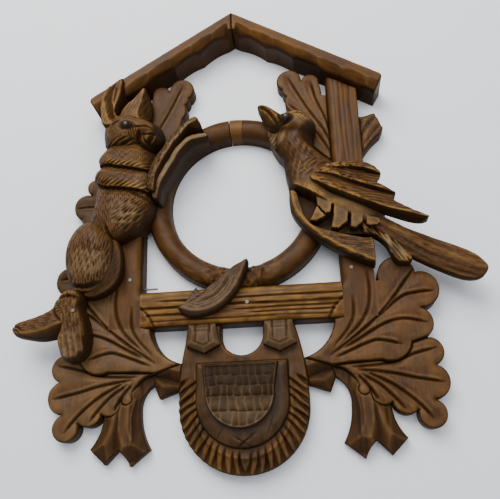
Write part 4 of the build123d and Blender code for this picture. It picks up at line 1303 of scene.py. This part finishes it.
def bird_body_top(xy, edge):
    """Head, neck, breast and flank, with the leg feathers standing out below the wing."""
    x, y = xy[:, 0], xy[:, 1]
    head = mound(xy, (34.4, 38.0), (11.5, 9.5), -20.0, 29.8, 17.0, 0.45)
    neck = mound(xy, (35.0, 26.0), (12.0, 16.0), 10.0, 27.4, 15.0, 0.45)
    breast = mound(xy, (42.0, 2.0), (18.0, 24.0), 8.0, 28.4, 14.0, 0.45)
    flank = mound(xy, (58.0, -8.0), (28.0, 12.0), -32.0, 26.6, 14.0, 0.4)
    beak = mound(xy, (20.8, 43.6), (11.5, 5.2), -42.0, 28.8, 20.0, 0.6)
    z = meld(meld(head, neck, 1.5), meld(breast, flank, 1.5), 1.5)
    z = meld(z, beak, 0.6)
    rim = 18.0 - 3.0 * ease(-y, -10.0, 10.0) + 4.0 * ease(y, 36.0, 42.0) * ease(-x, -30.0, -24.0)
    z = rim + (z - rim) * dome(edge, 5.0)
    z = eye_socket(xy, z, EYE_BIRD)
    for line, width, depth in (
            ([(14.6, 48.6), (18.6, 44.6), (22.0, 39.8), (24.4, 35.6)], 1.1, 2.4),
            ([(19.0, 36.6), (22.0, 34.6), (26.0, 34.4), (31.0, 34.8)], 0.9, 1.4),
            ([(26.0, 37.2), (25.6, 40.0), (26.4, 43.0)], 0.8, 1.1),
            ([(33.6, 40.4), (37.6, 40.8), (42.0, 38.4)], 0.8, 1.0),
            ([(41.6, 33.6), (45.6, 28.0), (47.0, 22.0), (50.0, 16.6)], 1.6, 1.6)):
        z -= cut(xy, line, width, depth, 1.0)
    crown = patch(xy, (39.0, 38.6), (5.5, 3.4), -35.0)
    z += crown * strokes(xy, *CROWN_CUTS)
    throat = patch(xy, *THROAT)
    z += throat * strokes(xy, *THROAT_CUTS)
    scaled = patch(xy, (34.0, 16.0), (9.0, 13.0)) * (1.0 - throat)
    z += scaled * (fur(xy, -104.0, 9.0, 3.2, 0.55, 305) + fur(xy, -60.0, 6.0, 2.2, 0.25, 306))
    mantle = patch(xy, (46.0, 10.0), (11.0, 8.0), 20.0) * ease(edge, 0.5, 2.0)
    z += mantle * fur(xy, -150.0, 9.0, 2.4, 0.8, 307)
    low = ease(-y, 0.0, 8.0)
    z += low * patch(xy, (36.0, -8.0), (9.0, 13.0)) * fur(xy, -75.0, 6.0, 2.2, 0.9, 309)
    z -= 4.5 * patch(xy, (43.6, 28.6), (5.6, 5.6), -30.0, 0.6)
    return leg_feathers(xy, z)


def bird_body_rub(xy, edge):
    """Gold on the crown, the beak's two edges, the throat and the strip of flank below the wing."""
    flank, along = to_curve(xy, [(40.0, -2.6), (50.0, -9.4), (60.0, -14.6), (76.0, -23.0)])
    rubbed = 0.75 * bell(flank, 2.6) * ease(1.0 - along, 0.1, 0.5)
    crown = patch(xy, (37.6, 40.4), (6.0, 3.4), -35.0)
    rubbed += 0.8 * crown * ease(strokes(xy, *CROWN_CUTS), -0.6, -0.1)
    rubbed += 0.9 * patch(xy, (19.0, 44.0), (7.6, 3.6), -55.0) * ease(edge, 0.0, 0.4)
    rubbed += 0.7 * patch(xy, *THROAT) * ease(strokes(xy, *THROAT_CUTS), -0.6, -0.1)
    rubbed += 0.9 * feather_rims(xy)
    uneven = ease(noise(*aim(xy, 10.0), 1.6, 311), -0.1, 0.5)
    return rubbed + 0.8 * patch(xy, (39.0, -6.0), (2.6, 6.0), 10.0) * uneven


def bird_body_dark(xy, edge):
    """Painted shadow of the head behind the neck, a little darker down the breast, and painted shade in
    the hollow under the leg feathers.
    """
    thick = patch(xy, (43.4, 29.0), (6.0, 6.0), -30.0)
    thick += 0.3 * patch(xy, (29.0, 12.0), (5.0, 14.0), -6.0)
    return thick + 0.8 * feather_shade(xy)


LEG_FEATHERS = [
    [(42.3, -6.2), (46.8, -7.9), (50.9, -11.5), (50.0, -16.9), (46.8, -17.4), (42.8, -12.0)],
    [(42.9, -12.6), (46.4, -17.6), (49.4, -17.6), (46.0, -19.4), (42.1, -21.2), (38.6, -20.2)],
    [(51.6, -10.3), (59.2, -15.7), (58.4, -22.2), (53.2, -25.4), (49.2, -24.6), (50.8, -18.0)],
    [(60.0, -14.9), (66.7, -18.6), (66.0, -23.2), (62.0, -26.0), (59.0, -25.0), (59.6, -19.8)],
    [(67.3, -19.2), (74.4, -21.4), (75.4, -25.6), (69.7, -25.6), (67.1, -24.6)],
]


def leg_hollow(xy):
    """1 in the hollow below the flank, under the leg feathers, and 0 on the flank itself."""
    return ease(-xy[:, 1] - 0.62 * (xy[:, 0] - 38.0), 4.0, 6.0)


def leg_feathers(xy, z):
    """Five pointed tiles below the flank, each standing over a dark hollow beneath it."""
    z = z + (16.6 - z) * leg_hollow(xy)
    for number, feather in enumerate(LEG_FEATHERS):
        shape = np.array(feather)
        away, _ = to_path(xy, resample(shape, 1.0), closed=True)
        within = inside(xy, shape)
        reach = np.where(within, np.abs(away), 0.0)
        tilt = (xy - shape[0]) @ np.array((0.10, 0.20))
        tile = 25.2 - 0.3 * number + tilt + 0.15 * noise(*xy.T, 2.0, 312)
        z = np.where(within & (reach > 0.2), np.maximum(z, tile - 0.7 * np.exp(-reach / 0.5)), z)
    return z


def feather_shade(xy):
    """How far the leg feathers leave the hollow open: 1 between them and 0 on every tile."""
    covered = np.zeros(len(xy), bool)
    for feather in LEG_FEATHERS:
        covered |= inside(xy, np.array(feather))
    return leg_hollow(xy) * ~covered


def feather_rims(xy):
    """Gold along each leg feather's rim, broken by the knife."""
    rims = np.zeros(len(xy))
    for feather in LEG_FEATHERS:
        away, _ = to_path(xy, resample(np.array(feather), 1.0), closed=True)
        rims = np.maximum(rims, bell(np.abs(away) - 0.5, 0.45))
    return rims * ease(noise(*xy.T, 2.6, 313), -0.4, 0.2) * ease(60.0 - xy[:, 0], -2.0, 6.0)


def bird_under(xy, edge):
    """The back of the bird: raised under the free beak and head, low where it fits the ring."""
    lifted = ease(xy[:, 1] - 0.3 * xy[:, 0], 20.0, 32.0)
    return 6.2 + 5.8 * ease(xy[:, 0], 51.0, 53.0) + 10.5 * lifted * ease(46.0 - xy[:, 0], 0.0, 8.0)


sculpt("bird_body",
       [(13.8, 49.6), (16.4, 50.6), (20.0, 49.0), (23.6, 46.0), (27.2, 43.6), (31.0, 44.6), (34.8, 46.2),
        (38.6, 45.4), (42.4, 42.0), (45.4, 37.4), (44.0, 32.0), (43.4, 26.0), (46.4, 20.4), (51.6, 15.6),
        (60.0, 8.0), (70.0, 0.0), (78.0, -14.0), (76.0, -22.0), (68.0, -27.0), (54.0, -26.0),
        (42.0, -22.6), (35.0, -17.0), (31.0, -9.0), (29.0, -2.0), (28.2, 5.0), (27.0, 12.0), (26.6, 18.0),
        (23.6, 22.0), (20.2, 28.6), (18.6, 35.0), (16.2, 42.6)],
       bird_body_top, bird_wood, under=bird_under, wall_shade=0.95, rows=6, wear=0.7, shade=0.8,
       rim_wear=0.2, rub=bird_body_rub, dark=bird_body_dark,
       pale=lambda xy, edge: unit(0.8 * patch(xy, (24.0, 30.0), (4.0, 3.6))
                                  + 0.3 * patch(xy, (38.6, 37.0), (5.0, 3.6))
                                  + 0.3 * patch(xy, (56.0, -18.0), (17.0, 7.0), -24.0)
                                  * (1.0 - feather_shade(xy))))


WING_RIDGES = [
    # A feather's ridge, from the shoulder to its tip, and its height.
    ([(41.6, -0.4), (50.0, -5.6), (60.0, -10.8), (70.0, -15.6), (80.0, -20.2), (97.4, -25.4)], 32.0),
    ([(44.6, 4.0), (51.0, 2.6), (60.0, -1.4), (68.0, -4.8), (75.0, -7.6), (82.8, -10.4)], 30.4),
    ([(50.0, 7.4), (56.0, 6.6), (62.0, 6.2), (68.0, 5.0), (72.0, 3.4), (77.0, 1.4)], 29.0),
]


def near_wing_top(xy, edge):
    """Three overlapping feathers: each is highest at its own ridge and sinks under the next one."""
    grow = ease(xy[:, 0], 41.0, 50.0)
    z = np.full(len(xy), 23.6)
    for number, (ridge, height) in enumerate(WING_RIDGES):
        away, along = to_curve(xy, ridge)
        crest = height - 0.8 * (1.0 - grow) - 1.6 * ease(along, 0.8, 1.0)
        face = crest - 0.52 * plus(away) - 4.0 * plus(-away - 0.1)
        vane = np.column_stack([along * 45.0, away - 8.0 * along])
        face = face + (away > 0.5) * ease(along, 0.1, 0.3) * fur(vane, 0.0, 14.0, 1.9, 0.7, 310 + number)
        shoulder = bell(away, 3.5) * ease(0.75 - along, 0.0, 0.3) * (away > 0.0)
        beside = np.column_stack([along * 45.0, away])
        face = face + shoulder * fur(beside, 28.0, 7.0, 2.0, 1.1, 315 + number)
        z = np.maximum(z, face)
    return z - 0.5 * rounded(edge, 0.6)


def wing_rub(xy, edge):
    """Gold along every feather's ridge, widest at the shoulder."""
    rubbed = np.zeros(len(xy))
    for ridge, _ in WING_RIDGES:
        away, along = to_curve(xy, ridge)
        width = 0.7 + 2.4 * ease(0.55 - along, 0.0, 0.4)
        streaks = ease(noise(*aim(xy, -18.0), 1.7, 318), -0.3, 0.4) * ease(away, 0.8, 1.2) + (away < 1.0)
        rubbed += 1.1 * bell(away - 0.4, width) * (away > -0.6) * streaks
    return rubbed


sculpt("bird_wing_near",
       [(40.2, 1.4), (42.6, 4.6), (47.0, 8.2), (52.6, 9.8), (60.0, 10.4), (68.0, 9.4), (72.6, 7.2),
        (76.0, 4.0), (76.8, 1.2), (74.6, -2.0), (73.6, -3.2), (78.0, -6.4), (82.8, -9.8), (82.6, -11.8),
        (80.8, -13.2), (85.6, -17.4), (91.6, -21.2), (98.0, -24.4), (95.0, -26.0), (89.0, -24.9),
        (80.0, -21.2), (70.0, -16.6), (60.0, -11.8), (50.0, -6.6), (43.6, -2.0)],
       near_wing_top, bird_wood, base=22.0, step=0.4, rim_wear=0.3, wear=0.75, shade=0.7,
       rub=wing_rub)


FAR_WING_EDGE = [(29.4, -4.0), (30.6, -12.0), (36.0, -21.0), (45.0, -29.6), (57.0, -37.6), (70.4, -44.4)]


def far_wing_top(xy, edge):
    """The far wing: a long leaf-shaped vane, ribbed along its length, its lower edge rubbed bright."""
    away, along = to_curve(xy, FAR_WING_EDGE)
    z = 21.8 - 0.20 * plus(away - 0.8) - 1.4 * plus(0.6 - away)
    ribs = np.column_stack([along * 70.0, away - 22.0 * along])
    ribbed = fur(ribs, 0.0, 16.0, 1.5, 0.28, 321) + fur(ribs, 0.0, 12.0, 3.6, 0.35, 322)
    z += ease(along, 0.2, 0.45) * ribbed
    return z - 0.5 * rounded(edge, 0.6) + 0.1 * noise(*xy.T, 1.6, 323)


sculpt("bird_wing_far",
       [(29.4, -2.0), (28.6, -7.0), (29.4, -13.0), (33.0, -19.4), (38.6, -25.8), (45.4, -31.4),
        (53.0, -36.6), (61.4, -41.0), (69.4, -44.6), (70.4, -44.0), (70.4, -31.4), (66.0, -30.4),
        (56.0, -27.8), (46.0, -24.6), (40.0, -22.0), (36.4, -17.0), (34.0, -9.0), (32.6, -3.0)],
       far_wing_top, far_wing_wood, rim_wear=0.5,
       rub=lambda xy, edge: 0.8 * bell(to_curve(xy, FAR_WING_EDGE)[0] - 1.2, 1.0))


TAIL_SPINE = [(66.0, -16.0), (80.0, -26.0), (95.0, -36.0), (110.0, -44.0), (125.0, -51.0)]


def tail_top(xy, edge):
    """The tail: two long feathers, grooved along their length, with a raised upper edge."""
    away, along = to_curve(xy, TAIL_SPINE)
    z = 21.8 - 0.10 * plus(away) - 0.28 * plus(-away) - 0.8 * ease(along, 0.85, 1.0)
    ribs = np.column_stack([along * 70.0, away + 2.0 * np.sin(along * 3.0)])
    ribbed = fur(ribs, 0.0, 34.0, 3.0, 0.7, 331) + fur(ribs, 2.0, 9.0, 1.2, 0.22, 332)
    z += ease(1.02 - along, 0.0, 0.15) * ribbed
    return z - 1.6 * rounded(edge, 1.8) + 0.15 * noise(*xy.T, 2.0, 333)


sculpt("bird_tail",
       [(64.0, -13.0), (70.4, -15.4), (78.0, -20.4), (87.0, -26.4), (96.0, -30.8), (105.0, -35.0),
        (113.0, -38.8), (119.6, -42.6), (123.8, -46.6), (125.4, -50.0), (123.4, -53.8), (119.4, -55.6),
        (114.0, -55.2), (107.0, -52.4), (99.6, -48.4), (93.0, -44.6), (86.0, -40.0), (79.0, -33.0),
        (71.0, -25.0)],
       tail_top, tail_wood, under=rounded_under(3.0, 3.5), wear=0.7, shade=0.7,
       dark=lambda xy, edge: 0.3 * ease(-to_curve(xy, TAIL_SPINE)[0], 0.0, 5.0),
       rub=lambda xy, edge: 0.7 * bell(to_curve(xy, TAIL_SPINE)[0], 1.2))


def leg_top(xy, edge):
    """The trailing lower feather: narrow, with long bright cuts down it."""
    z = 20.2 - 0.9 * rounded(edge, 1.6)
    return z + fur(xy, -58.0, 14.0, 1.7, 1.4, 341)


sculpt("bird_leg",
       [(66.0, -20.0), (66.0, -27.4), (72.0, -29.4), (77.0, -34.6), (80.6, -43.0), (84.0, -44.6),
        (88.6, -44.4), (88.0, -40.0), (84.0, -35.0), (79.0, -28.0), (74.0, -21.0)],
       leg_top, tail_wood,
       pale=lambda xy, edge: 0.8 * patch(xy, (80.6, -35.0), (3.0, 9.0), 32.0))


# ---- eyes and pins ---------------------------------------------------------------------
for node, finish in (("hare_eye", eye_glass), ("bird_eye", eye_glass), ("panel_pins", pin_steel),
                     ("side_brad", brad_iron)):
    part_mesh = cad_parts[node].data
    part_mesh.materials.clear()
    part_mesh.materials.append(finish)


# ---- camera, light and floor -----------------------------------------------------------
def turn(axis, degrees):
    """Rotation matrix about one axis."""
    return Matrix.Rotation(math.radians(degrees), 3, axis)


# The viewer stands a little below the frame's middle and looks down at it, slightly turned.
LOOK_AT = np.array((0.0049, -0.0262, 0.0))
DISTANCE = 0.3591
LENS = 46.75                # millimetres, on a sensor 36 mm wide
SKY_STRENGTH = 0.55
FLOOR_REACH = 1.5           # metres from the middle of the floor to each side
camera_turn = turn("X", 19.21) @ turn("Y", 5.18) @ turn("Z", -3.73)
camera_data = bpy.data.cameras.new("viewer")
camera_data.sensor_width = 36.0
camera_data.lens = LENS
camera_data.clip_start = 0.01
camera = bpy.data.objects.new("viewer", camera_data)
bpy.context.collection.objects.link(camera)
stand = LOOK_AT + DISTANCE * np.array(camera_turn.col[2])
camera.matrix_world = Matrix.Translation(stand) @ camera_turn.to_4x4()
bpy.context.scene.camera = camera


def soft_light(name, place, size, power, colour):
    """A square area light at a place, facing the middle of the frame."""
    data = bpy.data.lights.new(name, "AREA")
    data.size = size
    data.energy = power
    data.color = colour
    light = bpy.data.objects.new(name, data)
    bpy.context.collection.objects.link(light)
    z = Vector(np.array(place) - LOOK_AT).normalized()
    x = Vector((0.0, 1.0, 0.3)).cross(z).normalized()
    light.matrix_world = Matrix.Translation(place) @ Matrix((x, z.cross(x), z)).transposed().to_4x4()


soft_light("window", (-0.18, 0.42, 0.62), 0.55, 9.0, (1.0, 0.98, 0.95))
soft_light("ceiling", (0.25, 0.1, 0.9), 0.8, 6.0, (0.96, 0.98, 1.0))

world = bpy.data.worlds.new("room")
bpy.context.scene.world = world
world.use_nodes = True
world.node_tree.nodes["Background"].inputs[0].default_value = (0.9, 0.94, 1.0, 1.0)
world.node_tree.nodes["Background"].inputs[1].default_value = SKY_STRENGTH

floor_mesh = bpy.data.meshes.new("cloth_floor")
corners = [(x * FLOOR_REACH, y * FLOOR_REACH, 0) for x, y in ((-1, -1), (1, -1), (1, 1), (-1, 1))]
floor_mesh.from_pydata(corners, [], [(0, 1, 2, 3)])
floor = bpy.data.objects.new("cloth_floor", floor_mesh)
bpy.context.collection.objects.link(floor)
cloth = Recipe("pale_cloth")
cloth.feed(cloth.shader.inputs["Base Color"], (0.72, 0.73, 0.76))
cloth.feed(cloth.shader.inputs["Roughness"], 0.9)
floor_mesh.materials.append(cloth.material)
